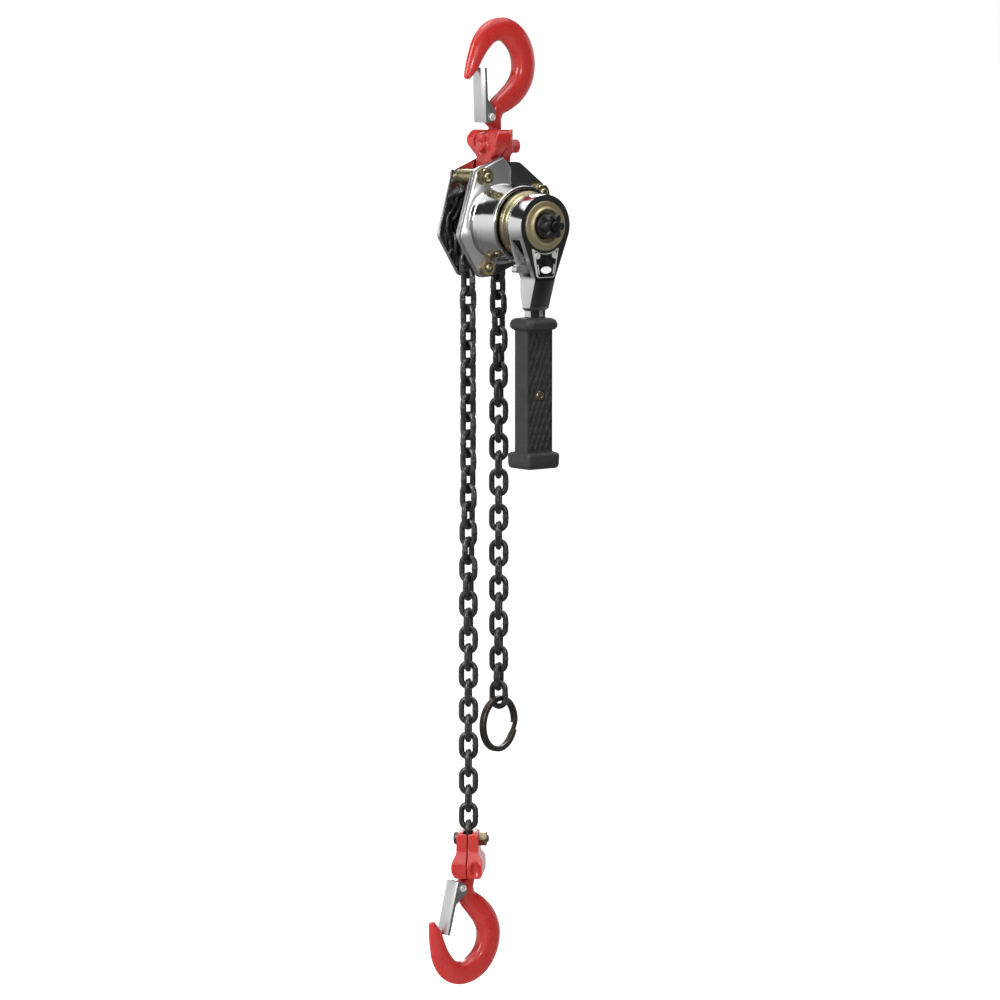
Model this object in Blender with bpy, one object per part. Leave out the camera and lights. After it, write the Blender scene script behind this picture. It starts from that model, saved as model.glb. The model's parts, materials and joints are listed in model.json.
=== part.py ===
"""A small lever chain hoist: two hooks, a ratchet body, a lever, a load chain and its ring.

Lengths below are in millimetres, in the hoist's own frame: the sheave axis is the Y axis,
the lever side faces -Y, the chain runs in the plane Y = 0 and +Z is up. An empty carries the
whole hoist to the frame of the record, whose origin is the seat of the top hook.
"""

from math import asin, atan2, cos, degrees, hypot, pi, radians, sin, tau

import bmesh
import bpy
from mathutils import Matrix, Vector

# Driving dimensions
WIRE = 4.0  # chain wire
PITCH = 12.0  # chain pitch
LINK_W = 13.4  # outer width of a link
POCKETS = 4  # link pairs that one turn of the sheave carries, two links each
HOOK_X = 7.0  # hook line, to the load side of the tail chain
SEAT_Z = 120.0  # seat of the top hook above the sheave axis
FIRST_LINK_Z = -3.3  # centre of the load run's first link
LOAD_LINKS = 35
TAIL_LINKS = 26
# How far a run of chain has turned about its length: by height, and by link number
LOAD_TWIST = ((40, 0), (90, 8), (150, 8), (300, 44), (411, 47))
TAIL_TWIST = ((0, 0), (3, 16), (11, 46), (19, 46), (26, 28))
TAIL_X = 10.2

JOINT_R = PITCH / (2 * sin(pi / (2 * POCKETS)))
STEP = 360 / (2 * POCKETS)
LOAD_JOINT = 180 - degrees(asin((FIRST_LINK_Z + PITCH / 2) / JOINT_R))
TAIL_JOINT = LOAD_JOINT - 5 * STEP

PLATE_IN, PLATE_T = 9.0, 3.0
PLATE_OUT = PLATE_IN + PLATE_T
FLANGE = (-12.3, -14.3)  # flange of the brake cover
DRUM_R, DRUM_END = 25.0, -40.5
HEAD_R, HEAD_Y = 20.5, (-46.5, -62.5)  # lever head
GRIP_X, GRIP_Y = -1.0, -51.5
SHAFT_R = 5.0
BOLT_R, CLEAR = 2.9, 0.3
STAYS = {"a": (-14.4, 31.0), "b": (-12.9, -29.0), "c": (34.6, 19.2)}
PIN_Z = 36.0  # suspension pin
CHAIN_PIN_Z = FIRST_LINK_Z - (LOAD_LINKS - 1) * PITCH - 3.3
CHAIN_X = -JOINT_R
LOWER_YAW = -43.0  # the lower yoke turns with the chain
LOWER_HOOK_YAW = -4.0
LOWER_HOOK_TILT = 11.0
NECK = 58.0  # hook seat to the top of its yoke
YOKE_NECK = PIN_Z - (SEAT_Z - NECK)  # from the top of a yoke to its pin
LOWER_SEAT_Z = CHAIN_PIN_Z + YOKE_NECK - NECK
RING_R, RING_IN, RING_W = 19.0, 15.5, 4.2
RING_YAW = 14.0

FINISHES = {
    "red_paint": ((0.62, 0.035, 0.025), 0.28, 0.0),
    "chrome": ((0.78, 0.78, 0.79), 0.12, 1.0),
    "zinc_yellow": ((0.62, 0.52, 0.28), 0.3, 1.0),
    "zinc_plate": ((0.62, 0.62, 0.61), 0.35, 1.0),
    "black_steel": ((0.03, 0.03, 0.032), 0.4, 0.6),
    "black_rubber": ((0.025, 0.025, 0.027), 0.7, 0.0),
    "bronze_steel": ((0.14, 0.115, 0.085), 0.4, 0.7),
    "machined_steel": ((0.5, 0.5, 0.5), 0.35, 1.0),
    "friction_lining": ((0.2, 0.13, 0.08), 0.85, 0.0),
    "label_black": ((0.015, 0.015, 0.016), 0.35, 0.0),
}


# ---------------------------------------------------------------- scene and materials


def clear_scene():
    for obj in list(bpy.data.objects):
        bpy.data.objects.remove(obj, do_unlink=True)


def new_collection(name, hidden=False):
    col = bpy.data.collections.new(name)
    bpy.context.scene.collection.children.link(col)
    col.hide_render = hidden
    return col


def finish(name):
    if name in bpy.data.materials:
        return bpy.data.materials[name]
    colour, rough, metal = FINISHES[name]
    mat = bpy.data.materials.new(name)
    mat.use_nodes = True
    bsdf = mat.node_tree.nodes["Principled BSDF"]
    bsdf.inputs["Base Color"].default_value = (*colour, 1)
    bsdf.inputs["Roughness"].default_value = rough
    bsdf.inputs["Metallic"].default_value = metal
    mat.diffuse_color = (*colour, 1)
    return mat


def face_outwards(bm):
    """Each closed shell in the mesh is turned so that it encloses a positive volume."""
    bmesh.ops.recalc_face_normals(bm, faces=bm.faces)
    left = set(bm.faces)
    while left:
        shell, todo = set(), [left.pop()]
        while todo:
            face = todo.pop()
            shell.add(face)
            near = {f for edge in face.edges for f in edge.link_faces} & left
            left -= near
            todo += near
        volume = 0.0
        for face in shell:
            a, *rest = [v.co for v in face.verts]
            volume += sum(a.dot(b.cross(c)) for b, c in zip(rest, rest[1:]))
        if volume < 0:
            bmesh.ops.reverse_faces(bm, faces=list(shell))


def to_object(name, bm, material=None):
    """A mesh in hoist millimetres becomes an object in metres under the hoist's empty."""
    face_outwards(bm)
    bm.transform(Matrix.Scale(0.001, 4))
    mesh = bpy.data.meshes.new(name)
    bm.to_mesh(mesh)
    bm.free()
    obj = bpy.data.objects.new(name, mesh)
    obj.parent = bpy.data.objects["hoist_origin"]
    if material:
        mesh.materials.append(finish(material))
        bpy.data.collections["lever_hoist"].objects.link(obj)
    else:
        obj.hide_render = True
        obj.display_type = "WIRE"
        bpy.data.collections["cutters"].objects.link(obj)
    return obj


def boolean(obj, tool, operation="DIFFERENCE"):
    mod = obj.modifiers.new(tool.name, "BOOLEAN")
    mod.operation = operation
    mod.solver = "EXACT"
    mod.object = tool
    return obj


# ---------------------------------------------------------------- shapes


def loft(rings, closed=False, bm=None):
    """Skins rings of equal point counts; open lofts get flat ends."""
    bm = bm or bmesh.new()
    rows = [[bm.verts.new(p) for p in ring] for ring in rings]
    pairs = list(zip(rows, rows[1:])) + ([(rows[-1], rows[0])] if closed else [])
    for a, b in pairs:
        for i in range(len(a)):
            j = (i + 1) % len(a)
            bm.faces.new((a[i], a[j], b[j], b[i]))
    if not closed:
        bm.faces.new(rows[0])
        bm.faces.new(rows[-1])
    return bm


def circle(r, n, centre=(0, 0), phase=0.0):
    return [
        (centre[0] + r * cos(phase + tau * i / n), centre[1] + r * sin(phase + tau * i / n))
        for i in range(n)
    ]


def prism(outline, lo, hi, axis="Y", bm=None):
    """Extrudes an outline in XZ along Y, or an outline in YZ along X."""
    if axis == "Y":
        rings = [[(x, t, z) for x, z in outline] for t in (lo, hi)]
    elif axis == "X":
        rings = [[(t, y, z) for y, z in outline] for t in (lo, hi)]
    else:
        rings = [[(x, y, t) for x, y in outline] for t in (lo, hi)]
    return loft(rings, bm=bm)


def box(x, y, z, bm=None):
    corners = [(x[0], z[0]), (x[1], z[0]), (x[1], z[1]), (x[0], z[1])]
    return prism(corners, *y, bm=bm)


def lathe(profile, n=24, bore=None, centre=(0, 0), bm=None):
    """Turns (y, radius) pairs about a Y line; a bore radius leaves it open right through."""
    rings = [[(x, y, z) for x, z in circle(r, n, centre)] for y, r in profile]
    if bore is None:
        return loft(rings, bm=bm)
    for y in (profile[-1][0], profile[0][0]):
        rings.append([(x, y, z) for x, z in circle(bore, n, centre)])
    return loft(rings, closed=True, bm=bm)


def rounded(corners, n=3):
    """(x, z, radius) corners become an outline whose corners are arcs of n steps."""
    points = []
    for i, (x, z, r) in enumerate(corners):
        here = Vector((x, z))
        before = (Vector(corners[i - 1][:2]) - here).normalized()
        after = (Vector(corners[(i + 1) % len(corners)][:2]) - here).normalized()
        if r <= 0:
            points.append((x, z))
            continue
        half = before.angle(after) / 2
        reach = r / sin(half)
        middle = here + (before + after).normalized() * reach
        run = r * cos(half) / sin(half)
        start, end = here + before * run - middle, here + after * run - middle
        a0 = atan2(start.y, start.x)
        turn = (atan2(end.y, end.x) - a0 + pi) % tau - pi
        for k in range(n + 1):
            a = a0 + turn * k / n
            points.append((middle.x + r * cos(a), middle.y + r * sin(a)))
    return points


def hexagon(across, centre=(0, 0)):
    return circle(across / (2 * cos(pi / 6)), 6, centre)


# ---------------------------------------------------------------- chain


def link(bm, centre, along, plane_deg, top=7.6, low=7.6, sides=6, arc=3):
    """One round-wire link. along is its length direction, plane_deg turns its flat about it."""
    along = Vector(along).normalized()
    ref = Vector((cos(radians(plane_deg)), sin(radians(plane_deg)), 0))
    wide = (ref - along * ref.dot(along)).normalized()
    flat = along.cross(wide)
    r, half = WIRE / 2, (LINK_W - WIRE) / 2
    path = []
    for end, reach in ((1, top), (-1, low)):
        for k in range(arc + 1):
            a = pi * k / arc if end > 0 else pi + pi * k / arc
            out = along * sin(a) + wide * cos(a)
            mid = along * (end * (reach - half)) + wide * (half * cos(a)) + along * (half * sin(a))
            path.append((Vector(centre) + mid, out))
    rings = []
    for at, out in path:
        turns = [tau * i / sides for i in range(sides)]
        rings.append([at + (out * cos(a) + flat * sin(a)) * r for a in turns])
    loft(rings, closed=True, bm=bm)


def chain(name, links):
    """Neighbouring links interlock and touch, so odd and even links are joined as one run."""
    meshes = [bmesh.new(), bmesh.new()]
    for i, args in enumerate(links):
        link(meshes[i % 2], **args)
    other = to_object(f"{name}_even_links", meshes[1])
    return boolean(to_object(name, meshes[0], "black_steel"), other, "UNION")


def joint_point(deg):
    return Vector((JOINT_R * cos(radians(deg)), 0, JOINT_R * sin(radians(deg))))


def turned(table, where):
    """Reads a twist from its table, in straight lines between the entries."""
    for (a, low), (b, high) in zip(table, table[1:]):
        if where < b:
            return low + (high - low) * max(0, where - a) / (b - a)
    return table[-1][1]


def run_ends(i, count):
    """The first and last link of a run stay clear of the links beyond them."""
    return {"top": 9.6 if i == 0 else 7.6, "low": 8.35 if i == count - 1 else 7.6}


def build_load_chain():
    links = []
    for i in range(LOAD_LINKS):
        z = FIRST_LINK_Z - i * PITCH
        twist = turned(LOAD_TWIST, -z)
        links.append(
            {"centre": (CHAIN_X, 0, z), "along": (0, 0, 1), "plane_deg": 90 * (i % 2) + twist}
            | run_ends(i, LOAD_LINKS)
        )
    chain("load_chain", links)


def tail_point(i):
    """Joints of the slack side: it leaves the sheave low and hangs straight."""
    start = joint_point(TAIL_JOINT)
    z = start.z - i * PITCH
    ease = min(1, i / 5)
    return Vector((start.x + (TAIL_X - start.x) * ease, 0, z))


def build_tail_chain():
    links = []
    for i in range(TAIL_LINKS):
        a, b = tail_point(i), tail_point(i + 1)
        links.append(
            {"centre": (a + b) / 2, "along": a - b, "plane_deg": 90 * (i % 2) + turned(TAIL_TWIST, i)}
            | run_ends(i, TAIL_LINKS)
        )
    chain("tail_chain", links)


def build_sheave_chain():
    links = []
    for i in range(5):
        a, b = joint_point(LOAD_JOINT - i * STEP), joint_point(LOAD_JOINT - (i + 1) * STEP)
        tangent = (b - a).normalized()
        flat = i % 2 == 0  # every other link lies flat in a pocket
        links.append(
            {"centre": (a + b) / 2, "along": tangent, "plane_deg": 90.0 if flat else 0.0}
            | {"top": 7.6, "low": 7.6}
        )
    links[0]["low"], links[-1]["top"] = 7.5, 8.2
    chain("sheave_chain", links)


def build_end_ring():
    """Two turns of spring wire pressed flat, through the last link of the slack side."""
    last = (tail_point(TAIL_LINKS - 1) + tail_point(TAIL_LINKS)) / 2
    centre = last - Vector((0, 0, 8.35 - WIRE / 2 + RING_IN - 1.7))
    facing = 90 + RING_YAW
    n = 28
    half = RING_W / 2
    section = [(RING_IN, -half), (RING_R, -half), (RING_R, -0.4), (RING_R - 0.7, 0)]
    section += [(RING_R, 0.4), (RING_R, half), (RING_IN, half)]
    axis = Vector((cos(radians(facing)), sin(radians(facing)), 0))
    side = Vector((-axis.y, axis.x, 0))
    rings = []
    for i in range(n):
        out = side * cos(tau * i / n) + Vector((0, 0, 1)) * sin(tau * i / n)
        rings.append([centre + out * r + axis * t for r, t in section])
    to_object("end_ring", loft(rings, closed=True), "bronze_steel")


# ---------------------------------------------------------------- hooks and yokes

# Stations down a hook, from the neck round the bowl to the tip, with the seat at the origin,
# the neck towards -Z and the tip on the -X side: centre x, centre z, half depth, half thickness.
HOOK_STATIONS = [
    (-0.6, -51.0, 5.2, 4.5),
    (1.8, -44.0, 6.6, 4.9),
    (10.6, -38.0, 8.0, 5.5),
    (17.6, -32.4, 8.5, 5.6),
    (22.8, -24.6, 8.7, 5.7),
    (24.3, -15.5, 8.8, 5.8),
    (22.4, -6.2, 8.8, 5.8),
    (17.8, 1.0, 8.8, 5.8),
    (11.2, 6.0, 8.3, 5.7),
    (3.6, 7.9, 7.9, 5.6),
    (-5.0, 5.5, 7.5, 5.3),
    (-12.2, -1.6, 6.8, 4.8),
    (-16.6, -9.6, 5.6, 4.2),
    (-19.9, -17.0, 4.6, 3.6),
    (-23.4, -23.2, 2.5, 2.4),
]
LATCH_PIVOT = (-7.4, -50.2)
LATCH_LEN = 33.0
HEAD_DROP = (62.2, 65.2)  # swivel head of the shank, below the seat
HEAD_HALF = 6.5
NECK_R = 4.4


def hook_frame(seat, yaw=0.0, tilt=0.0, lower=False):
    """Places a hook: a lower hook is turned over, so its neck points up."""
    turn = Matrix.Rotation(radians(yaw), 4, "Z")
    if lower:
        turn = turn @ Matrix.Rotation(radians(tilt), 4, "Y") @ Matrix.Scale(-1, 4, (0, 0, 1))
    return Matrix.Translation(seat) @ turn


def egg(half_depth, half_thick, n=12):
    """Hook section: thickest near the inside of the bowl (first axis points out of the bowl)."""
    points = []
    for i in range(n):
        a = tau * i / n
        u = cos(a)
        points.append((half_depth * u, half_thick * sin(a) * (1 - 0.22 * u)))
    return points


def hook_rings(n=12, stations=HOOK_STATIONS):
    rings = []
    last = len(stations) - 1
    for i, (x, z, depth, thick) in enumerate(stations):
        ax, az = stations[max(0, i - 1)][:2]
        bx, bz = stations[min(last, i + 1)][:2]
        run = Vector((bx - ax, 0, bz - az)).normalized()
        if i == 0:
            run = Vector((0.2, 0, 0.98)).normalized()
        out = Vector((run.z, 0, -run.x))
        rings.append(
            [Vector((x, 0, z)) + out * u + Vector((0, v, 0)) for u, v in egg(depth, thick, n)]
        )
    return rings


def build_hook(name, frame):
    rings = hook_rings()
    tip = rings[-1]
    middle = sum(tip, Vector()) / len(tip)
    rings.append([middle + (p - middle) * 0.35 + Vector((-0.5, 0, -1.4)) for p in tip])
    neck = []
    low, high = -HEAD_DROP[1], -HEAD_DROP[0]
    for z, r in ((low, HEAD_HALF), (high, HEAD_HALF), (high, NECK_R), (-53.5, NECK_R)):
        neck.append([Vector((x, y, z)) for x, y in circle(r, 12)])
    bm = loft(neck + rings)
    bm.transform(frame)
    body = to_object(name, bm, "red_paint")
    corners = [(-11.3, -50.2, 3.4), (-3.6, -56.6, 1), (0, -55.6, 0), (0, -45.5, 0), (-9, -46.4, 2)]
    lug = prism(rounded(corners), -4.1, 4.1)
    lug.transform(frame)
    boolean(body, to_object(f"{name}_lug", lug), "UNION")
    hole = lathe([(-9, 1.5 + CLEAR), (9, 1.5 + CLEAR)], 12, centre=LATCH_PIVOT)
    hole.transform(frame)
    boolean(body, to_object(f"{name}_pin_hole", hole))


def build_latch(prefix, frame):
    """A folded channel: the web faces the mouth and two ears carry the pivot pin."""
    px, pz = LATCH_PIVOT
    lean = Matrix.Translation((px, 0, pz)) @ Matrix.Rotation(radians(-2), 4, "Y")
    outside = 6.6
    # side view, pivot at the origin, the tip end up
    corners = [(-6.4, -3.4, 0.8), (1.5, -3.6, 2.2), (3.4, 3.2, 2.5), (-3.1, 12, 1)]
    corners += [(-3.4, LATCH_LEN, 0.6), (-6.4, LATCH_LEN, 0.6)]
    bm = prism(rounded(corners, 2), -outside, outside)
    bm.transform(frame @ lean)
    channel = to_object(f"{prefix}_latch", bm, "zinc_plate")
    inner = box((-5.2, 9), (-outside + 1.2, outside - 1.2), (-9, LATCH_LEN + 5))
    inner.transform(frame @ lean)
    boolean(channel, to_object(f"{prefix}_latch_inside", inner))
    hole = lathe([(-9, 1.5 + CLEAR), (9, 1.5 + CLEAR)], 12)
    hole.transform(frame @ lean)
    boolean(channel, to_object(f"{prefix}_latch_hole", hole))
    shape = [(-7.9, 2.0), (-7.7, 2.4), (-6.9, 2.4), (-6.9, 1.5), (6.9, 1.5), (6.9, 2.4), (7.7, 2.2)]
    pin = lathe(shape, 12)
    pin.transform(frame @ lean)
    to_object(f"{prefix}_latch_pin", pin, "zinc_plate")


def yoke_frame(pin_at, yaw, lower=False):
    """Yoke space: pin along Y at the origin, hook neck up the +Z line, halves on either side of X."""
    turn = Matrix.Rotation(radians(yaw), 4, "Z")
    if lower:
        turn = turn @ Matrix.Rotation(pi, 4, "X")
    return Matrix.Translation(pin_at) @ turn


NUT_SIDE = [(0, -17), (2.4, -15.6), (7.0, -10.5), (12, -4.6)]


def build_yoke(prefix, frame, across_pin):
    """Two forged halves hold the head of the hook between them; one bolt closes them."""
    top = -YOKE_NECK  # top face above the pin
    # the upper legs fit between the side plates, the lower ones clear the last link but one
    leg, end = (7.4, -7.5) if across_pin else (9.6, -5.2)
    right = [(leg, end, 3.5), (leg, top - 19, 4), (16.4, top - 10, 5), (15.6, top - 0.2, 5)]
    outline = rounded(right + [(-y, z, r) for y, z, r in right[::-1]])
    wide = 11.6 if across_pin else 10.4
    high, low = (4.0, 8.1) if across_pin else (2.6, 8.6)  # cavity of the swivel head
    for tag, side in (("a", -1), ("b", 1)):
        depth = [(0.15, end - 0.1), (7.3, end - 0.1), (7.6, top - 17)]
        if side > 0 and across_pin:
            depth += [(wide, top - 12), (wide, top - 7), (9.4, top - 2), (7.0, top)]
        elif side > 0:
            depth += [(wide, top - 13), (wide, top - 2.5), (8.0, top)]
        else:
            depth += [(wide, top - 11), (wide, top - 6), (8.4, top - 1), (6.6, top)]
        if side < 0 and across_pin:  # its outer face runs straight down between the plates
            depth[1:3] = [(10.8, end - 0.1), (11.4, top - 17)]
        depth += [(0.15, top)]
        half = prism(outline, 0.15, 11.6, axis="X")
        sides = prism(depth, -20, 20)
        cut = bmesh.new()
        rings = []
        for z, r in ((top + 2, 5.2), (top - high, 5.2), (top - high, 8.2), (top - low, 8.2)):
            rings.append([(x, y, z) for x, y in circle(r, 16)])
        loft(rings, bm=cut)
        if across_pin:  # the suspension pin lies in the joint between the halves
            lathe([(-12, 3.4 + CLEAR), (12, 3.4 + CLEAR)], 16, bm=cut)
            bolt_z = top - 12.0
        else:  # the lower yoke has a pocket for the last link, and its bolt is the chain pin
            right = [(7.1, -9.0), (7.1, 2.5), (4.2, 7.7)]
            pocket = prism(right + [(-y, z) for y, z in right[::-1]], -2.45, 2.45, axis="X")
            bolt_z = 0.0
        rings = [[(x, y, bolt_z + z) for y, z in circle(2.5 + CLEAR, 12)] for x in (-20, 20)]
        loft(rings, bm=cut)
        flip = Matrix.Scale(side, 4, (1, 0, 0)) if side < 0 else Matrix()
        if side > 0 and across_pin:  # the half under the nut narrows away from the joint
            narrow = prism(NUT_SIDE + [(x, -y) for x, y in NUT_SIDE[::-1]], -20, 40, axis="Z")
            narrow.transform(frame)
        for bm in (half, sides, cut):
            bm.transform(frame @ flip)
        body = to_object(f"{prefix}_yoke_half_{tag}", half, "red_paint")
        boolean(body, to_object(f"{prefix}_yoke_sides_{tag}", sides), "INTERSECT")
        if side < 0:  # a round boss stands on the outer cheek
            rings = []
            for x, r in ((wide - 2, 2.9), (wide, 2.7), (wide + 1.2, 1.5)):
                rings.append([(-x, y, top - 5.4 + z) for y, z in circle(r, 12)])
            boss = loft(rings)
            boss.transform(frame)
            boolean(body, to_object(f"{prefix}_yoke_boss", boss), "UNION")
        boolean(body, to_object(f"{prefix}_yoke_bores_{tag}", cut))
        if side > 0 and across_pin:
            boolean(body, to_object(f"{prefix}_yoke_narrow", narrow), "INTERSECT")
        if not across_pin:
            pocket.transform(frame @ flip)
            boolean(body, to_object(f"{prefix}_yoke_pocket_{tag}", pocket))
    seat = 11.9 if across_pin else 7.8  # where the bolt head and the nut sit
    head, head_r = (1.6, 3.4) if across_pin else (2.4, 4.4)
    rings = []
    shank = [(-seat - head, head_r), (-seat, head_r), (-seat, 2.5)]
    nut_h = 6.5 if across_pin else 5.0
    shank += [(seat + nut_h + 0.6, 2.5), (seat + nut_h + 1.2, 1.9)]
    for x, r in shank:
        rings.append([(x, y, bolt_z + z) for y, z in circle(r, 12)])
    bolt = loft(rings)
    bolt.transform(frame)
    to_object(f"{prefix}_yoke_bolt", bolt, "red_paint" if across_pin else "black_steel")
    rings = []
    flats, bore = hexagon(9), circle(3.2, 6)
    tip = seat + nut_h
    for x, ring in ((seat, flats), (tip, flats), (tip, bore), (seat, bore)):
        rings.append([(x, y, bolt_z + z) for y, z in ring])
    nut = loft(rings, closed=True)
    nut.transform(frame)
    to_object(f"{prefix}_yoke_nut", nut, "red_paint" if across_pin else "zinc_yellow")


# ---------------------------------------------------------------- body


def body_outline():
    corners = [(-20, 35, 3), (3.5, 44.4, 3), (7, 40.2, 4), (14, 40.2, 4), (19, 39.5, 4), (45, 20, 7)]
    corners += [(40.5, -5, 10), (19, -27, 12), (-5, -35.4, 5), (-15.4, -36.0, 5), (-33.2, -8, 7)]
    return rounded(corners, 2)


def stay_holes(bm, r, names="abc", lo=-25, hi=25):
    for key in names:
        lathe([(lo, r), (hi, r)], 12, centre=STAYS[key], bm=bm)


def build_plates():
    for side, lo, hi in (("front", -PLATE_OUT, -PLATE_IN), ("rear", PLATE_IN, PLATE_OUT)):
        name = f"side_plate_{side}"
        plate = to_object(name, prism(body_outline(), lo, hi), "chrome")
        cut = bmesh.new()
        front = side == "front"
        stay_holes(cut, BOLT_R + CLEAR, "abc" if front else "ac")
        lathe([(-20, 8.3), (20, 8.3)], 20, bm=cut)
        lathe([(-20, 3.4 + CLEAR), (20, 3.4 + CLEAR)], 12, centre=(HOOK_X, PIN_Z), bm=cut)
        if front:
            for x, z in PAWL_PINS:
                lathe([(-20, 2.0 + CLEAR), (20, 2.0 + CLEAR)], 10, centre=(x, z), bm=cut)
        boolean(plate, to_object(f"{name}_holes", cut))


PAWL_PINS = [(17.6, -7.2), (-17.6, 7.2)]


# the flange of the brake cover spans the load side of the front plate only
COVER_CORNERS = [(-19.4, 34.2, 3), (3.2, 43.6, 2), (9.6, 36.5, 3), (9.0, 22, 0), (-3.0, -24, 0)]
COVER_CORNERS += [(-6.6, -34.6, 3), (-15.2, -35.2, 4.8), (-32.4, -8, 6.6)]


def build_covers():
    outline = rounded([(x, z, r) for x, z, r in COVER_CORNERS], 2)
    cover = to_object("brake_cover", prism(outline, *FLANGE[::-1]), "chrome")
    lip = DRUM_R + 0.6
    shape = [(-13, lip), (-24, DRUM_R), (-38.6, DRUM_R - 0.4), (-38.8, lip), (DRUM_END, lip)]
    boolean(cover, to_object("brake_cover_drum", lathe(shape, 32)), "UNION")
    hollow = lathe([(-10, DRUM_R - 1.6), (-45, DRUM_R - 1.9)], 32)
    stay_holes(hollow, BOLT_R + CLEAR, "ab")
    boolean(cover, to_object("brake_cover_hollow", hollow))

    dome = lathe([(12.3, 23), (14.2, 23), (15.5, 20), (18.4, 12), (20.0, 11.5)], 28)
    back = to_object("back_cover", dome, "chrome")
    boolean(back, to_object("back_cover_hollow", lathe([(11, 9), (18.2, 9)], 20)))


def build_stays():
    for key, (x, z) in STAYS.items():
        short = key == "b"
        if short:  # a cup-head bolt through the front plate only, clear of the load run
            head = [(-7.3, 4.6), (-8.7, 4.6), (-8.7, BOLT_R)]
        else:
            head = [(16.2, 5.2), (12.3, 5.2), (12.3, BOLT_R)]
            spacer = lathe([(-8.7, 4.6), (8.7, 4.6)], 12, bore=BOLT_R + CLEAR, centre=(x, z))
            to_object(f"stay_spacer_{key}", spacer, "zinc_yellow")
        face = -12.3 if key == "c" else -14.6  # the plate, or the flange that lies on it
        shape = head + [(face - 6.0, BOLT_R), (face - 6.8, 2.2)]
        to_object(f"stay_bolt_{key}", lathe(shape, 12, centre=(x, z)), "zinc_yellow")
        rings = []
        for y in (face, face - 1.2):
            rings.append([(px, y, pz) for px, pz in circle(5.9, 12, (x, z))])
        for y in (face - 1.2, face - 5.0):
            sharp = hexagon(10, (x, z))
            both = []
            for i, (px, pz) in enumerate(sharp):
                qx, qz = sharp[(i + 1) % 6]
                both += [(px, y, pz), ((px + qx) / 2, y, (pz + qz) / 2)]
            rings.append(both)
        for y in (face - 5.0, face):
            rings.append([(px, y, pz) for px, pz in circle(BOLT_R + CLEAR, 12, (x, z))])
        to_object(f"stay_nut_{key}", loft(rings, closed=True), "zinc_yellow")


def build_inside():
    pin = lathe([(-11.9, 3.0), (-11.5, 3.4), (11.5, 3.4), (11.9, 3.0)], 14, centre=(HOOK_X, PIN_Z))
    to_object("suspension_pin", pin, "machined_steel")
    body = prism([(-8.2, -15.9), (1.4, -15.9), (0.6, -27), (-8.2, -27)], -8.7, 8.7)
    guide = to_object("chain_stripper", body, "black_steel")
    tongue = prism([(-4.2, -17), (0.8, -17), (0.0, -8.4), (-1.8, -8.4)], -1.9, 1.9)
    boolean(guide, to_object("stripper_tongue", tongue), "UNION")
    for tag, y0, y1 in (("front", -PLATE_OUT, -PLATE_IN + 0.3), ("rear", PLATE_IN - 0.3, PLATE_OUT)):
        bush = lathe([(y0, 8.0), (y1, 8.0)], 20, bore=SHAFT_R + CLEAR)
        to_object(f"shaft_bush_{tag}", bush, "zinc_yellow")


def build_sheave():
    groove = [(-8.3, 14.5), (-2.9, 14.5), (-2.4, 7.2), (2.4, 7.2), (2.9, 14.5), (8.3, 14.5)]
    sheave = to_object("load_sheave", lathe(groove, 32, bore=SHAFT_R + CLEAR), "machined_steel")
    cut = bmesh.new()
    for k in range(POCKETS):
        mid = LOAD_JOINT - STEP / 2 + 90 * k
        turn = Matrix.Rotation(radians(90 - mid), 4, "Y")
        one = box((-10.5, 10.5), (-7.1, 7.1), (11.4, 24))
        one.transform(turn)
        mesh = bpy.data.meshes.new("pocket")
        one.to_mesh(mesh)
        cut.from_mesh(mesh)
        bpy.data.meshes.remove(mesh)
        one.free()
    boolean(sheave, to_object("sheave_pockets", cut))


def build_drive():
    shaft = lathe([(17.6, 4.2), (17.2, SHAFT_R), (-70.2, SHAFT_R), (-70.2, 3.4), (-73.6, 3.4), (-74.2, 2.8)], 16)
    to_object("drive_shaft", shaft, "machined_steel")
    hub = lathe([(-14.0, 16.0), (-17.4, 16.0), (-17.4, 9.0), (-27.0, 9.0)], 20, bore=SHAFT_R + CLEAR)
    to_object("friction_hub", hub, "machined_steel")
    for tag, y in (("inner", -17.7), ("outer", -23.7)):
        disc = lathe([(y, 15.8), (y - 1.8, 15.8)], 20, bore=9.0 + CLEAR)
        to_object(f"friction_disc_{tag}", disc, "friction_lining")
    rings = []
    teeth = 10
    for y in (-19.8, -23.4):
        ring = []
        for k in range(teeth):
            a = tau * k / teeth
            ring += [(14.4 * cos(a), y, 14.4 * sin(a)), (12.0 * cos(a + 0.1), y, 12.0 * sin(a + 0.1))]
        rings.append(ring)
    for y in (-23.4, -19.8):
        rings.append([(x, y, z) for x, z in circle(9.0 + CLEAR, 2 * teeth)])
    to_object("ratchet_wheel", loft(rings, closed=True), "machined_steel")
    shape = [(-27.3, 16.0), (-30.5, 16.0), (-30.5, 9.0), (-49.2, 9.0)]
    to_object("clamp_nut", lathe(shape, 20, bore=SHAFT_R + CLEAR), "machined_steel")
    rings = []
    teeth = 8
    for y in (-49.5, -60.2):
        ring = []
        for k in range(teeth):
            a = tau * k / teeth
            for da, r in ((-0.26, 9.4), (-0.12, 12.4), (0.12, 12.4), (0.26, 9.4)):
                ring.append((r * cos(a + da), y, r * sin(a + da)))
        rings.append(ring)
    for y in (-60.2, -49.5):
        rings.append([(x, y, z) for x, z in circle(SHAFT_R + CLEAR, 4 * teeth)])
    to_object("change_gear", loft(rings, closed=True), "machined_steel")


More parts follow.
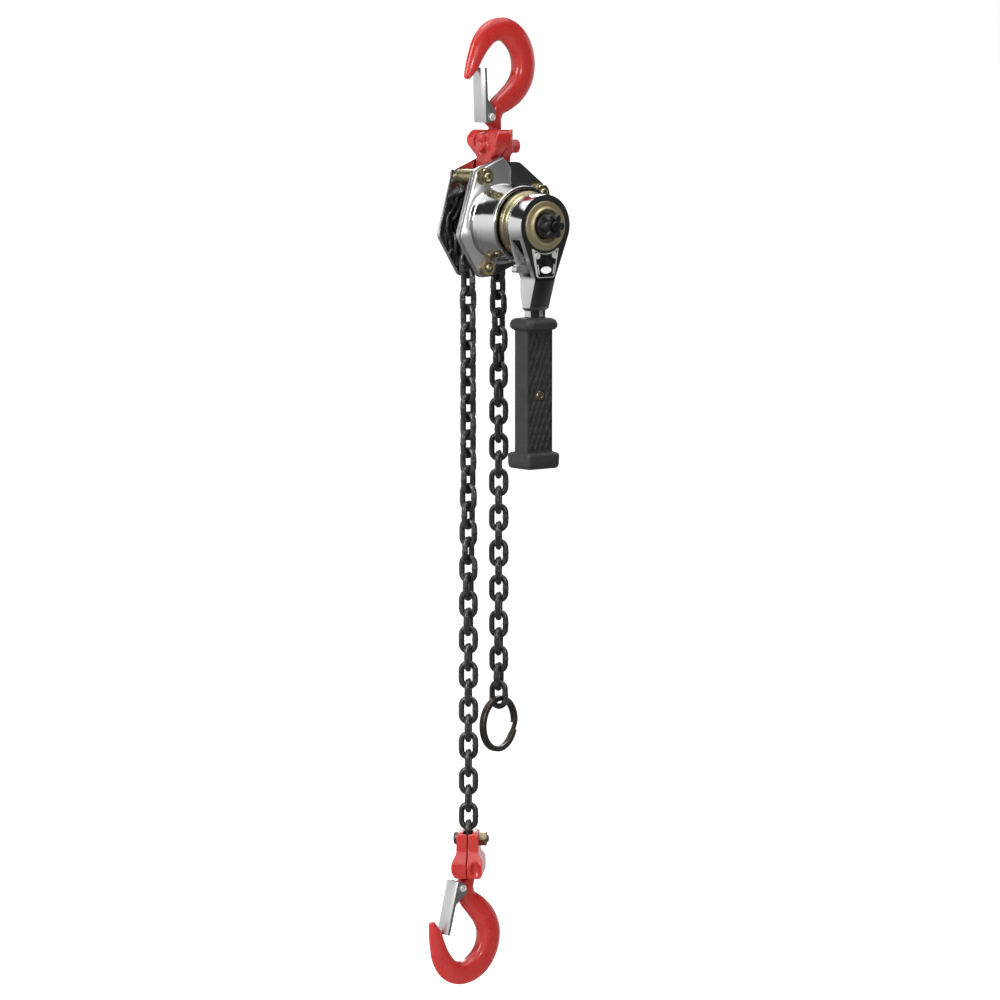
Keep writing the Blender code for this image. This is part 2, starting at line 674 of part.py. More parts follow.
def build_pawls():
    """Two sprung pawls stand in the brake cover and drop into the ratchet wheel."""
    for tag, (x, z) in zip("ab", PAWL_PINS):
        pin = lathe([(-8.7, 2.0), (-23.2, 2.0)], 10, centre=(x, z))
        away = atan2(z, x)
        turn = Matrix.Translation((x, 0, z)) @ Matrix.Rotation(-away, 4, "Y")
        to_object(f"pawl_pin_{tag}", pin, "machined_steel")
        hub = [(4.0 * cos(radians(a)), 4.0 * sin(radians(a))) for a in range(-150, 61, 30)]
        shape = hub + [(-4.4, 9.4), (-6.1, 8.2)]
        pawl = prism(shape, -19.9, -23.3)
        pawl.transform(turn)
        body = to_object(f"pawl_{tag}", pawl, "machined_steel")
        hole = lathe([(-30, 2.0 + CLEAR), (-12, 2.0 + CLEAR)], 10, centre=(x, z))
        boolean(body, to_object(f"pawl_hole_{tag}", hole))


# ---------------------------------------------------------------- lever


RIVET_X = (-7.15, 7.15)


def build_lever():
    """The head is pressed round the gear; below it the bar steps back into the grip."""
    top = [(HEAD_R * sin(a), HEAD_R * cos(a)) for a in [radians(d) for d in range(-108, 109, 12)]]
    outline = top + [(8.4, -34.5), (8.1, -54.5), (6.2, -56.0), (6.2, -155.0)]
    outline += [(-6.2, -155.0), (-6.2, -56.0), (-8.1, -54.5), (-8.4, -34.5)]
    lever = to_object("lever_body", prism(outline, *HEAD_Y[::-1]), "chrome")
    side = [(HEAD_Y[0], 22), (HEAD_Y[1], 22), (HEAD_Y[1], -34.5), (-56.0, -54.5)]
    side += [(GRIP_Y - 3.3, -56.5), (GRIP_Y - 3.3, -160), (GRIP_Y + 3.3, -160)]
    side += [(GRIP_Y + 3.3, -52), (HEAD_Y[0], -46)]
    boolean(lever, to_object("lever_side_view", prism(side, -30, 30, axis="X")), "INTERSECT")
    tools = {
        "bore": lathe([(-40, 17.6), (-60.2, 17.6), (-60.2, 16.6), (-70, 16.6)], 28),
        "pawl_room": box((-30, 5.2), (-58.7, -50.4), (-33.5, -9.0)),
        "pin_hole": lathe([(-60.4, 2.0 + CLEAR), (-40, 2.0 + CLEAR)], 10, centre=(0, -23.6)),
        "screw_hole": lathe([(-70, 1.7 + CLEAR), (-40, 1.7 + CLEAR)], 10, centre=(0, -112)),
    }
    for x in RIVET_X:
        lathe([(-60.4, 1.0 + CLEAR), (-70, 1.0 + CLEAR)], 8, centre=(x, -19.4), bm=tools["screw_hole"])
    for name, tool in tools.items():
        boolean(lever, to_object(f"lever_{name}", tool))


def build_lever_trim():
    disc = lathe([(-41.2, 22.0), (-41.2, 22.2), (-45.0, 22.2), (-46.2, 20.0)], 32, bore=9.0 + CLEAR)
    to_object("lever_back_disc", disc, "zinc_yellow")
    front = [(-61.0, 16.3), (-63.1, 16.3), (-63.3, 11.8), (-64.9, 11.6), (-64.9, 10.8), (-63.6, 10.2)]
    to_object("lever_front_disc", lathe(front, 32, bore=8.6 + CLEAR), "zinc_yellow")
    arc = [(18.4 * sin(radians(d)), -18.4 * cos(radians(d))) for d in range(-36, 37, 12)]
    arc = [(x, z + 0.2) for x, z in arc]
    outline = arc + [(6.7, -33.9), (-6.7, -33.9)]
    plate = to_object("lever_label", prism(outline, -62.8, -63.4), "label_black")
    holes = bmesh.new()
    for x in RIVET_X:
        lathe([(-60, 1.0 + CLEAR), (-70, 1.0 + CLEAR)], 8, centre=(x, -19.4), bm=holes)
    boolean(plate, to_object("lever_label_holes", holes))
    for tag, x in zip(("left", "right"), RIVET_X):
        rivet = lathe([(-60.7, 1.0), (-63.7, 1.0), (-63.7, 2.1), (-64.3, 1.6)], 8, centre=(x, -19.4))
        to_object(f"label_rivet_{tag}", rivet, "zinc_plate")


def build_selector():
    """The change pawl: its tab comes out through the slot in the side of the lever."""
    hub = circle(4.4, 14, (0, -23.6))
    bm = prism(hub, -50.9, -58.2)
    pawl = to_object("selector", bm, "zinc_plate")
    tab = [(-19.4, -28.4, 1.4), (-19.4, -32.6, 1.6)]
    outline = [(-1, -21.0, 0), (-10, -26.6, 0)] + tab + [(-9.8, -32.6, 0), (-2, -27.6, 0)]
    arm = prism(rounded(outline), -52.0, -57.2)
    hub_at = Matrix.Translation((0, 0, -23.6))
    arm.transform(hub_at @ Matrix.Rotation(radians(7), 4, "Y") @ hub_at.inverted())
    boolean(pawl, to_object("selector_arm", arm), "UNION")
    hole = lathe([(-62, 2.0 + CLEAR), (-45, 2.0 + CLEAR)], 10, centre=(0, -23.6))
    boolean(pawl, to_object("selector_hole", hole))
    pin = lathe([(-46.8, 2.0), (-60.0, 2.0)], 10, centre=(0, -23.6))
    to_object("selector_pin", pin, "machined_steel")


def build_knob():
    lobes = 6
    rings = []
    n = 4 * lobes

    def lobed(y, high, low):
        ring = []
        for i in range(n):
            a = tau * i / n
            r = high if i % 4 in (0, 1) else low
            ring.append((r * cos(a), y, r * sin(a)))
        return ring

    rings.append([(x, -60.6, z) for x, z in circle(8.4, n)])
    rings.append([(x, -65.4, z) for x, z in circle(8.4, n)])
    rings.append(lobed(-65.6, 8.3, 6.6))
    rings.append(lobed(-72.2, 8.3, 6.6))
    rings.append(lobed(-73.0, 7.6, 6.2))
    wide = SHAFT_R + CLEAR
    for y, r in ((-73.0, 3.7), (-70.6, 3.7), (-70.6, wide), (-60.6, wide)):
        rings.append([(x, y, z) for x, z in circle(r, n)])
    to_object("free_chain_knob", loft(rings, closed=True), "black_steel")


def build_grip():
    """A rubber sleeve with a guard at each end."""
    upper = [(-60.6, 8.0, 6.0), (-61.6, 12.0, 10.4), (-64.5, 13.2, 12.0), (-68.0, 12.4, 10.6)]
    body = [(-69.4, 11.0, 6.9), (-149.0, 11.0, 6.9)]
    lower = [(-150.0, 12.8, 11.6), (-152.5, 13.4, 12.0), (-158.6, 12.8, 11.2), (-160.4, 9.0, 8.4)]
    rings = []
    for z, hx, hy in upper + body + lower:
        r = min(hx, hy) * (0.3 if hx == 11.0 else 0.55)
        outline = rounded([(hx, hy, r), (-hx, hy, r), (-hx, -hy, r), (hx, -hy, r)], 3)
        rings.append([(x + GRIP_X, GRIP_Y + y, z) for x, y in outline])
    grip = to_object("lever_grip", loft(rings), "black_rubber")
    bore = box((-6.5, 6.5), (GRIP_Y - 3.6, GRIP_Y + 3.6), (-155.6, -50))
    boolean(grip, to_object("grip_bore", bore))
    for name, y0, y1, r in (("head", -12, -5.0, 3.9), ("hole", -19, 12, 1.7 + CLEAR)):
        hole = lathe([(GRIP_Y + y0, r), (GRIP_Y + y1, r)], 12, centre=(0, -112))
        boolean(grip, to_object(f"grip_screw_{name}", hole))
    shape = [(-6.4, 3.0), (-6.0, 3.5), (-5.2, 3.5), (-5.2, 1.7), (6.4, 1.7)]
    screw = lathe([(GRIP_Y + y, r) for y, r in shape], 12, centre=(0, -112))
    to_object("grip_screw", screw, "zinc_yellow")


# ---------------------------------------------------------------- the whole hoist


def build():
    clear_scene()
    new_collection("lever_hoist")
    new_collection("cutters", hidden=True)
    origin = bpy.data.objects.new("hoist_origin", None)
    bpy.data.collections["lever_hoist"].objects.link(origin)
    origin.location = (-HOOK_X / 1000, 0, -SEAT_Z / 1000)

    top = hook_frame((HOOK_X, 0, SEAT_Z))
    build_hook("top_hook", top)
    build_latch("top", top)
    build_yoke("top", yoke_frame((HOOK_X, 0, PIN_Z), 0.0), across_pin=True)
    build_plates()
    build_covers()
    build_stays()
    build_inside()
    build_sheave()
    build_drive()
    build_pawls()
    build_lever()
    build_lever_trim()
    build_selector()
    build_knob()
    build_grip()
    build_load_chain()
    build_tail_chain()
    build_sheave_chain()
    build_end_ring()
    lower_pin = yoke_frame((CHAIN_X, 0, CHAIN_PIN_Z), LOWER_YAW, lower=True)
    build_yoke("lower", lower_pin, across_pin=False)
    neck_top = Vector((CHAIN_X, 0, CHAIN_PIN_Z + YOKE_NECK))
    lower = hook_frame(neck_top, LOWER_HOOK_YAW, LOWER_HOOK_TILT, lower=True)
    lower = lower @ Matrix.Translation((0, 0, NECK))
    build_hook("lower_hook", lower)
    build_latch("lower", lower)


build()
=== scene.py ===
"""Looks of the lever chain hoist: smooth, detailed pieces with procedural finishes over the frame.

Lengths are in millimetres in the hoist's own frame: the sheave axis is the Y axis, the lever
side faces -Y, the chain hangs in the plane Y = 0 and +Z is up. to_piece() carries each shape to
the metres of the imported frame, whose own boxes say where the sheave axis is.
"""

import json
from math import asin, atan2, cos, degrees, hypot, pi, radians, sin, tau

import bmesh
import bpy
from mathutils import Matrix, Vector

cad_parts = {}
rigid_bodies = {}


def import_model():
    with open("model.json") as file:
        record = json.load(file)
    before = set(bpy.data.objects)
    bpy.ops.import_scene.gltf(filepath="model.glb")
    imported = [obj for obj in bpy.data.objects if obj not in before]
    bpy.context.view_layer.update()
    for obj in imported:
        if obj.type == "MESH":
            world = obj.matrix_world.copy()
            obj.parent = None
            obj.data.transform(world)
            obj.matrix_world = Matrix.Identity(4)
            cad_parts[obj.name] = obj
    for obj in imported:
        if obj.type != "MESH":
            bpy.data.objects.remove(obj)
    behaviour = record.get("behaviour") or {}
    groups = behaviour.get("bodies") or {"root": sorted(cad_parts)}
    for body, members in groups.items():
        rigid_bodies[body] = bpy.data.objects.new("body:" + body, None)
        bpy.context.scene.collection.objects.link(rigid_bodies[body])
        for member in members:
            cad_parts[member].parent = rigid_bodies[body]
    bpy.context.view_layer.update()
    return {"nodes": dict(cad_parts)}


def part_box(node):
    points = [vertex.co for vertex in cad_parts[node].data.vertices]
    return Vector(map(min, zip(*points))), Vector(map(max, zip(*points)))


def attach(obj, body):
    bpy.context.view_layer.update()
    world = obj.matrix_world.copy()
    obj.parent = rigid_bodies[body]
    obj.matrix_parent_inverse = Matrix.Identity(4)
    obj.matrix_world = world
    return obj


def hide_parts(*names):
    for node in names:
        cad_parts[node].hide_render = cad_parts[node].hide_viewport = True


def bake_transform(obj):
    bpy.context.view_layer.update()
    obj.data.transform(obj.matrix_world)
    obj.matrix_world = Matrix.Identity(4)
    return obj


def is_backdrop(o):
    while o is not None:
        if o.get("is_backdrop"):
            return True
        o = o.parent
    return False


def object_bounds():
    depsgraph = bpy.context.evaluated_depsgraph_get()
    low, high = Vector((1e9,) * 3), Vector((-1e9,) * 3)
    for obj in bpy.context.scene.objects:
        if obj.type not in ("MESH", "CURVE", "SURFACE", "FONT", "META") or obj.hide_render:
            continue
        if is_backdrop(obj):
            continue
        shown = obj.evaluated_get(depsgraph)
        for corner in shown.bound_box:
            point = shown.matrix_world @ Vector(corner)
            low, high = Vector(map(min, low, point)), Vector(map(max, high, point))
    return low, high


for leftover in list(bpy.data.objects):
    bpy.data.objects.remove(leftover, do_unlink=True)

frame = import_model()
MM = 0.001

low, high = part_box("drive_shaft")
AXIS = Vector(((low.x + high.x) / 2, 0, (low.z + high.z) / 2))  # the sheave axis at Y = 0
TO_FRAME = Matrix.Translation(AXIS) @ Matrix.Scale(MM, 4)

# The chain and the sheave
WIRE, PITCH, LINK_W = 4.0, 12.0, 13.4
LINK_END, FIRST_END, LAST_END = 7.95, 9.6, 8.35  # from a link's centre to its ends
POCKETS, SHEAVE_LINKS = 4, 5
FIRST_LINK_Z, LOAD_LINKS, TAIL_LINKS, TAIL_X = -3.3, 35, 26, 10.2
SWING_LINKS, PIN_DROP = 5, 3.3  # links before the tail hangs plumb; last link to the chain pin
# Degrees that a run has turned about its length: by drop, and by link number
LOAD_TWIST = ((40, 0), (90, 8), (150, 8), (300, 44), (411, 47))
TAIL_TWIST = ((0, 0), (3, 16), (11, 46), (19, 46), (26, 28))
JOINT_R = PITCH / (2 * sin(pi / (2 * POCKETS)))
STEP = 360 / (2 * POCKETS)
LOAD_JOINT = 180 - degrees(asin((FIRST_LINK_Z + PITCH / 2) / JOINT_R))
TAIL_JOINT = LOAD_JOINT - SHEAVE_LINKS * STEP

# The body
PLATE_IN, PLATE_OUT = 9.0, 12.0
DRUM_R = 25.0
BOLT_R, CLEAR = 2.9, 0.3
STAYS = {"a": (-14.4, 31.0), "b": (-12.9, -29.0), "c": (34.6, 19.2)}
HOOK_X, PIN_Z, SEAT_Z = 7.0, 36.0, 120.0
SHAFT_R = 5.0

# The lever
HEAD_R, HEAD_Y = 20.5, (-46.5, -62.5)
GRIP_X, GRIP_Y = -1.0, -51.5
RIVET_X, RIVET_Z = (-7.15, 7.15), -19.4
SELECTOR_Z, GRIP_SCREW_Z = -23.6, -112
KNURLED = (-148.4, -69.8)  # the heights between which the grip has ribs

# Where the lower hook hangs
CHAIN_PIN_Z = FIRST_LINK_Z - (LOAD_LINKS - 1) * PITCH - PIN_DROP
LOWER_YAW, LOWER_HOOK_YAW, LOWER_HOOK_TILT = -43.0, -4.0, 11.0
NECK = 58.0
YOKE_NECK = PIN_Z - (SEAT_Z - NECK)


# -------- finishes


def add_node(tree, kind, **settings):
    node = tree.nodes.new(kind)
    for key, value in settings.items():
        setattr(node, key, value)
    return node


def set_stops(node, stops):
    """Fills a colour ramp from (place, colour) stops, in which one number is a grey."""
    elements = node.color_ramp.elements
    while len(elements) < len(stops):
        elements.new(0.5)
    for element, (place, colour) in zip(elements, stops):
        element.position = place
        element.color = (*colour, 1) if isinstance(colour, tuple) else (colour,) * 3 + (1,)


class Nodes:
    """A few short-hands for the node tree of one material."""

    def __init__(self, name):
        self.mat = bpy.data.materials.new(name)
        self.mat.use_nodes = True
        self.tree = self.mat.node_tree
        self.bsdf = self.tree.nodes["Principled BSDF"]
        self.coords = self.tree.nodes.new("ShaderNodeTexCoord").outputs["Object"]

    def add(self, kind):
        return add_node(self.tree, kind)

    def link(self, a, b):
        self.tree.links.new(a, b)

    def noise(self, scale, detail=3.0, stretch=(1, 1, 1)):
        place = self.add("ShaderNodeMapping")
        place.inputs["Scale"].default_value = stretch
        self.link(self.coords, place.inputs["Vector"])
        node = self.add("ShaderNodeTexNoise")
        node.inputs["Scale"].default_value = scale
        node.inputs["Detail"].default_value = detail
        self.link(place.outputs["Vector"], node.inputs["Vector"])
        return node.outputs["Fac"]

    def ramp(self, fac, stops):
        node = self.add("ShaderNodeValToRGB")
        set_stops(node, stops)
        self.link(fac, node.inputs["Fac"])
        return node.outputs["Color"]

    def colour(self, fac, stops):
        self.link(self.ramp(fac, stops), self.bsdf.inputs["Base Color"])

    def roughness(self, fac, stops):
        self.link(self.ramp(fac, stops), self.bsdf.inputs["Roughness"])

    def bump(self, layers):
        """Each layer is a height output, its strength and its depth in metres."""
        normal = None
        for height, strength, depth in layers:
            node = self.add("ShaderNodeBump")
            node.inputs["Strength"].default_value = strength
            node.inputs["Distance"].default_value = depth
            self.link(height, node.inputs["Height"])
            if normal:
                self.link(normal, node.inputs["Normal"])
            normal = node.outputs["Normal"]
        self.link(normal, self.bsdf.inputs["Normal"])

    def set(self, **values):
        for key, value in values.items():
            self.bsdf.inputs[key.replace("_", " ")].default_value = value


def finish(name, colour, roughness, bumps=(), **values):
    """A procedural finish.

    colour and roughness are each a noise and the stops of its ramp, bumps are noises with their
    strength and depth, and the values go to the shader as they are.
    """
    n = Nodes(name)
    n.colour(n.noise(*colour[0]), colour[1:])
    n.roughness(n.noise(*roughness[0]), roughness[1:])
    if bumps:
        n.bump([(n.noise(*noise), strength, depth) for noise, strength, depth in bumps])
    n.set(**values)
    return n.mat


FINISHES = {
    "red_paint": finish(
        "red_enamel",
        [(38, 4), (0.3, (0.34, 0.016, 0.014)), (0.7, (0.41, 0.023, 0.019))],
        [(120, 2), (0.3, 0.24), (0.8, 0.36)],
        [((70, 3), 0.35, 0.0009), ((650, 2), 0.12, 0.0003)],
        Coat_Weight=0.4,
        Coat_Roughness=0.1,
        IOR=1.45,
    ),
    "chrome": finish(
        "chrome_plate",
        [(30, 3), (0.3, (0.70, 0.70, 0.71)), (0.7, (0.80, 0.80, 0.81))],
        [(140, 5), (0.35, 0.07), (0.75, 0.15)],
        [((24, 2), 0.25, 0.0012), ((900, 2), 0.03, 0.0002)],
        Metallic=1.0,
    ),
    "zinc_yellow": finish(
        "yellow_zinc",
        [(110, 3), (0.25, (0.27, 0.24, 0.13)), (0.45, (0.40, 0.36, 0.21))]
        + [(0.6, (0.36, 0.28, 0.19)), (0.8, (0.50, 0.47, 0.31))],
        [(260, 4), (0.3, 0.22), (0.8, 0.4)],
        [((420, 3), 0.08, 0.0003)],
        Metallic=0.95,
    ),
    "zinc_plate": finish(
        "bright_zinc",
        [(60, 3), (0.3, (0.58, 0.58, 0.58)), (0.75, (0.66, 0.66, 0.66))],
        [(180, 4, (1, 1, 0.2)), (0.3, 0.27), (0.8, 0.36)],
        [((320, 3, (1, 1, 0.1)), 0.05, 0.0002)],
        Metallic=0.9,
    ),
    "black_steel": finish(
        "black_oxide",
        [(220, 5), (0.3, (0.024, 0.023, 0.022)), (0.75, (0.075, 0.071, 0.068))],
        [(420, 5), (0.3, 0.2), (0.8, 0.42)],
        [((900, 4), 0.16, 0.0003)],
        Metallic=0.65,
        IOR=1.9,
    ),
    "black_rubber": finish(
        "moulded_rubber",
        [(140, 4), (0.3, (0.013, 0.013, 0.0135)), (0.75, (0.022, 0.022, 0.023))],
        [(300, 3), (0.3, 0.52), (0.8, 0.68)],
        [((1400, 3), 0.2, 0.0002)],
        IOR=1.5,
    ),
    "bronze_steel": finish(
        "tempered_spring_steel",
        [(240, 4), (0.3, (0.050, 0.040, 0.032)), (0.75, (0.105, 0.085, 0.065))],
        [(300, 4), (0.3, 0.26), (0.8, 0.42)],
        [((500, 4), 0.12, 0.0003)],
        Metallic=0.8,
    ),
    "machined_steel": finish(
        "turned_steel",
        [(160, 4), (0.3, (0.33, 0.33, 0.34)), (0.75, (0.46, 0.46, 0.46))],
        [(240, 4, (0.2, 3, 0.2)), (0.3, 0.26), (0.8, 0.42)],
        [((700, 2, (0.05, 3, 0.05)), 0.15, 0.0002)],
        Metallic=1.0,
    ),
    "friction_lining": finish(
        "woven_lining",
        [(380, 6), (0.3, (0.09, 0.055, 0.035)), (0.8, (0.20, 0.14, 0.09))],
        [(500, 3), (0.3, 0.8), (0.8, 0.95)],
        [((900, 4), 0.4, 0.0003)],
    ),
    "label_black": finish(
        "printed_plate",
        [(200, 2), (0.3, (0.006, 0.006, 0.007)), (0.8, (0.012, 0.012, 0.013))],
        [(200, 2), (0.3, 0.2), (0.8, 0.3)],
        Coat_Weight=0.4,
    ),
}
# Looks of single pieces, beside the finish of their slot
SATIN = finish(
    "satin_chrome",
    [(45, 4), (0.3, (0.60, 0.60, 0.61)), (0.7, (0.70, 0.70, 0.71))],
    [(60, 6), (0.3, 0.2), (0.75, 0.33)],
    [((18, 2), 0.3, 0.0014), ((500, 4, (1, 1, 0.08)), 0.06, 0.0002)],
    Metallic=1.0,
)
WHITE = finish(
    "printed_white",
    [(260, 3), (0.3, (0.72, 0.72, 0.70)), (0.8, (0.84, 0.84, 0.82))],
    [(200, 2), (0.3, 0.3), (0.8, 0.4)],
)
PLASTIC = finish(
    "black_plastic",
    [(300, 3), (0.3, (0.007, 0.007, 0.008)), (0.8, (0.014, 0.014, 0.015))],
    [(300, 3), (0.3, 0.28), (0.8, 0.42)],
    [((900, 3), 0.1, 0.0002)],
)
SATIN_ZINC = finish(
    "satin_zinc",
    [(90, 3), (0.3, (0.50, 0.50, 0.48)), (0.75, (0.64, 0.64, 0.62))],
    [(220, 4), (0.3, 0.42), (0.8, 0.55)],
    [((500, 3), 0.05, 0.0002)],
    Metallic=0.45,
)
SATIN_GOLD = finish(
    "satin_yellow_zinc",
    [(90, 3), (0.25, (0.30, 0.26, 0.14)), (0.45, (0.36, 0.32, 0.18))]
    + [(0.6, (0.34, 0.27, 0.16)), (0.8, (0.42, 0.38, 0.23))],
    [(260, 4), (0.3, 0.36), (0.8, 0.5)],
    [((420, 3), 0.05, 0.0002)],
    Metallic=0.7,
)
# Steel drawn far darker than the finish of its slot: painted shade on the sheave and the links
# round it inside the housing, and on the shaft end in the knob's hub.
SHADE_DARKENED_STEEL = finish(
    "shade_darkened_steel",
    [(200, 4), (0.3, (0.016, 0.0155, 0.015)), (0.75, (0.040, 0.039, 0.037))],
    [(300, 4), (0.3, 0.3), (0.8, 0.5)],
    [((700, 3), 0.1, 0.0002)],
    Metallic=0.8,
)
DULL = finish(
    "dull_chrome",
    [(45, 4), (0.3, (0.54, 0.54, 0.55)), (0.7, (0.66, 0.66, 0.67))],
    [(60, 6), (0.3, 0.27), (0.75, 0.4)],
    [((18, 2), 0.4, 0.0014), ((500, 4, (1, 1, 0.08)), 0.06, 0.0002)],
    Metallic=0.85,
)


# -------- shapes

NEARLY_STRAIGHT = 3.1  # the angle, in radians, from which a corner needs no arc
SHARP, BEVELLED = radians(38), radians(32)  # edges drawn sharp, and edges that get a bevel


def loft(rings, closed=False, bm=None):
    bm = bm or bmesh.new()
    rows = [[bm.verts.new(p) for p in ring] for ring in rings]
    for a, b in list(zip(rows, rows[1:])) + ([(rows[-1], rows[0])] if closed else []):
        for i in range(len(a)):
            j = (i + 1) % len(a)
            bm.faces.new((a[i], a[j], b[j], b[i]))
    if not closed:
        bm.faces.new(rows[0])
        bm.faces.new(rows[-1])
    return bm


def circle(r, n, centre=(0, 0), phase=0.0):
    turns = [phase + tau * i / n for i in range(n)]
    return [(centre[0] + r * cos(a), centre[1] + r * sin(a)) for a in turns]


def prism(outline, lo, hi, axis="Y", bm=None):
    if axis == "Y":
        rings = [[(x, t, z) for x, z in outline] for t in (lo, hi)]
    elif axis == "X":
        rings = [[(t, y, z) for y, z in outline] for t in (lo, hi)]
    else:
        rings = [[(x, y, t) for x, y in outline] for t in (lo, hi)]
    return loft(rings, bm=bm)


def box(x, y, z, bm=None):
    return prism([(x[0], z[0]), (x[1], z[0]), (x[1], z[1]), (x[0], z[1])], *y, bm=bm)


def lathe(profile, n=64, bore=None, centre=(0, 0), bm=None):
    rings = [[(x, y, z) for x, z in circle(r, n, centre)] for y, r in profile]
    if bore is None:
        return loft(rings, bm=bm)
    for y in (profile[-1][0], profile[0][0]):
        rings.append([(x, y, z) for x, z in circle(bore, n, centre)])
    return loft(rings, closed=True, bm=bm)


def corner_arc(before, corner, after, n):
    """A (u, v, radius) corner between two others becomes an arc of n steps, or stays a point."""
    u, v, r = corner
    here = Vector((u, v))
    before = (Vector(before[:2]) - here).normalized()
    after = (Vector(after[:2]) - here).normalized()
    if r <= 0 or before.angle(after) > NEARLY_STRAIGHT:
        return [(u, v)]
    half = before.angle(after) / 2
    run = r * cos(half) / sin(half)
    middle = here + (before + after).normalized() * (r / sin(half))
    start, end = here + before * run - middle, here + after * run - middle
    a0 = atan2(start.y, start.x)
    turn = (atan2(end.y, end.x) - a0 + pi) % tau - pi
    turns = [a0 + turn * k / n for k in range(n + 1)]
    return [(middle.x + r * cos(a), middle.y + r * sin(a)) for a in turns]


def rounded(corners, n=8):
    """(x, z, radius) corners become an outline whose corners are arcs of n steps."""
    points = []
    for i, corner in enumerate(corners):
        points += corner_arc(corners[i - 1], corner, corners[(i + 1) % len(corners)], n)
    return points


def soft_profile(corners, n=4):
    """A lathe profile of (y, radius, rounding) corners, its inner corners drawn as arcs."""
    points = [corners[0][:2]]
    for before, corner, after in zip(corners, corners[1:], corners[2:]):
        points += corner_arc(before, corner, after, n)
    return points + [corners[-1][:2]]


def carve(base, *tools, operation="DIFFERENCE"):
    """Cuts closed meshes out of a closed mesh, or joins them to it, one after another."""
    for tool in tools:
        pair = []
        for bm in (base, tool):
            bmesh.ops.recalc_face_normals(bm, faces=bm.faces)
            mesh = bpy.data.meshes.new("carving")
            bm.to_mesh(mesh)
            bm.free()
            obj = bpy.data.objects.new("carving", mesh)
            bpy.context.scene.collection.objects.link(obj)
            pair.append(obj)
        mod = pair[0].modifiers.new("cut", "BOOLEAN")
        mod.operation, mod.solver, mod.object = operation, "EXACT", pair[1]
        done = pair[0].evaluated_get(bpy.context.evaluated_depsgraph_get())
        base = bmesh.new()
        base.from_mesh(done.to_mesh())
        for obj in pair:
            mesh = obj.data
            bpy.data.objects.remove(obj, do_unlink=True)
            bpy.data.meshes.remove(mesh)
    return base


def merge(parts):
    """Several closed shells as one mesh."""
    out = bmesh.new()
    for bm in parts:
        mesh = bpy.data.meshes.new("part")
        bm.to_mesh(mesh)
        bm.free()
        out.from_mesh(mesh)
        bpy.data.meshes.remove(mesh)
    return out


def bake(obj):
    """Applies the object's modifiers, so that the piece is one plain mesh."""
    done = obj.evaluated_get(bpy.context.evaluated_depsgraph_get())
    mesh = bpy.data.meshes.new_from_object(done)
    old, obj.data = obj.data, mesh
    obj.modifiers.clear()
    bpy.data.meshes.remove(old)


def to_piece(
    name, bm, slot, body, nodes=(), place=None, edge=0.0, forge=0.0, look=None, blend=None
):
    """A mesh in hoist millimetres becomes a finished piece on its body.

    nodes are the CAD nodes that it replaces, and place moves it within the hoist. edge is the
    radius left on sharp edges; forge is the grain, in millimetres, to which the shape is
    remeshed and smoothed, so that its corners and joints read as forged.
    """
    if place:
        bm.transform(place)
    bmesh.ops.recalc_face_normals(bm, faces=bm.faces)
    bm.transform(TO_FRAME)
    mesh = bpy.data.meshes.new(name)
    bm.to_mesh(mesh)
    bm.free()
    obj = bpy.data.objects.new(name, mesh)
    bpy.context.scene.collection.objects.link(obj)
    if forge:
        mod = obj.modifiers.new("forge", "REMESH")
        mod.mode, mod.voxel_size = "VOXEL", forge * MM
        soften = obj.modifiers.new("soften", "SMOOTH")
        soften.factor, soften.iterations = 0.5, 7
    if edge:
        mod = obj.modifiers.new("edge", "BEVEL")
        mod.width, mod.segments, mod.limit_method = edge * MM, 3, "ANGLE"
        mod.angle_limit = BEVELLED
    if forge or edge:
        bake(obj)
    for poly in obj.data.polygons:
        poly.use_smooth = True
    if not forge:
        obj.data.set_sharp_from_angle(angle=SHARP)
    obj.data.materials.clear()
    obj.data.materials.append(look or FINISHES[slot])
    if blend:
        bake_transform(obj)
    else:
        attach(obj, body)
    if nodes:
        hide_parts(*nodes)
    return obj


# -------- chain


def link(bm, centre, along, plane_deg, top=LINK_END, low=LINK_END, sides=14, arc=11):
    """A round-wire link with the slight swelling of its weld half way down one side."""
    along = Vector(along).normalized()
    ref = Vector((cos(radians(plane_deg)), sin(radians(plane_deg)), 0))
    wide = (ref - along * ref.dot(along)).normalized()
    flat = along.cross(wide)
    half = (LINK_W - WIRE) / 2
    path = []
    for end, reach in ((1, top), (-1, low)):
        for k in range(arc + 1):
            a = pi * k / arc + (0 if end > 0 else pi)
            out = along * sin(a) + wide * cos(a)
            spot = along * (end * (reach - half)) + (wide * cos(a) + along * sin(a)) * half
            path.append((Vector(centre) + spot, out, WIRE / 2))
        if end > 0:  # the weld
            a, b = path[-1][0], Vector(centre) - along * (low - half) - wide * half
            for t, r in ((0.3, 2.0), (0.42, 2.12), (0.5, 2.17), (0.58, 2.12), (0.7, 2.0)):
                path.append((a.lerp(b, t), -wide, r))
    rings = []
    turns = [tau * i / sides for i in range(sides)]
    for spot, out, r in path:
        rings.append([spot + (out * cos(a) + flat * sin(a)) * r for a in turns])
    loft(rings, closed=True, bm=bm)


def joint_point(deg):
    """Where two links meet on the sheave, at an angle from +X."""
    return Vector((JOINT_R * cos(radians(deg)), 0, JOINT_R * sin(radians(deg))))


def run_ends(i, count):
    """The first link of a run reaches up to its joint, and the last down to its pin or ring."""
    low = LAST_END if i == count - 1 else LINK_END
    return {"top": FIRST_END if i == 0 else LINK_END, "low": low}


def turned(table, where):
    """Reads a twist from its table, in straight lines between the entries."""
    for (a, low), (b, high) in zip(table, table[1:]):
        if where < b:
            return low + (high - low) * max(0, where - a) / (b - a)
    return table[-1][1]


def tail_point(i):
    """The top of link i of the tail run, which swings out to its plumb line first."""
    start = joint_point(TAIL_JOINT)
    x = start.x + (TAIL_X - start.x) * min(1, i / SWING_LINKS)
    return Vector((x, 0, start.z - i * PITCH))


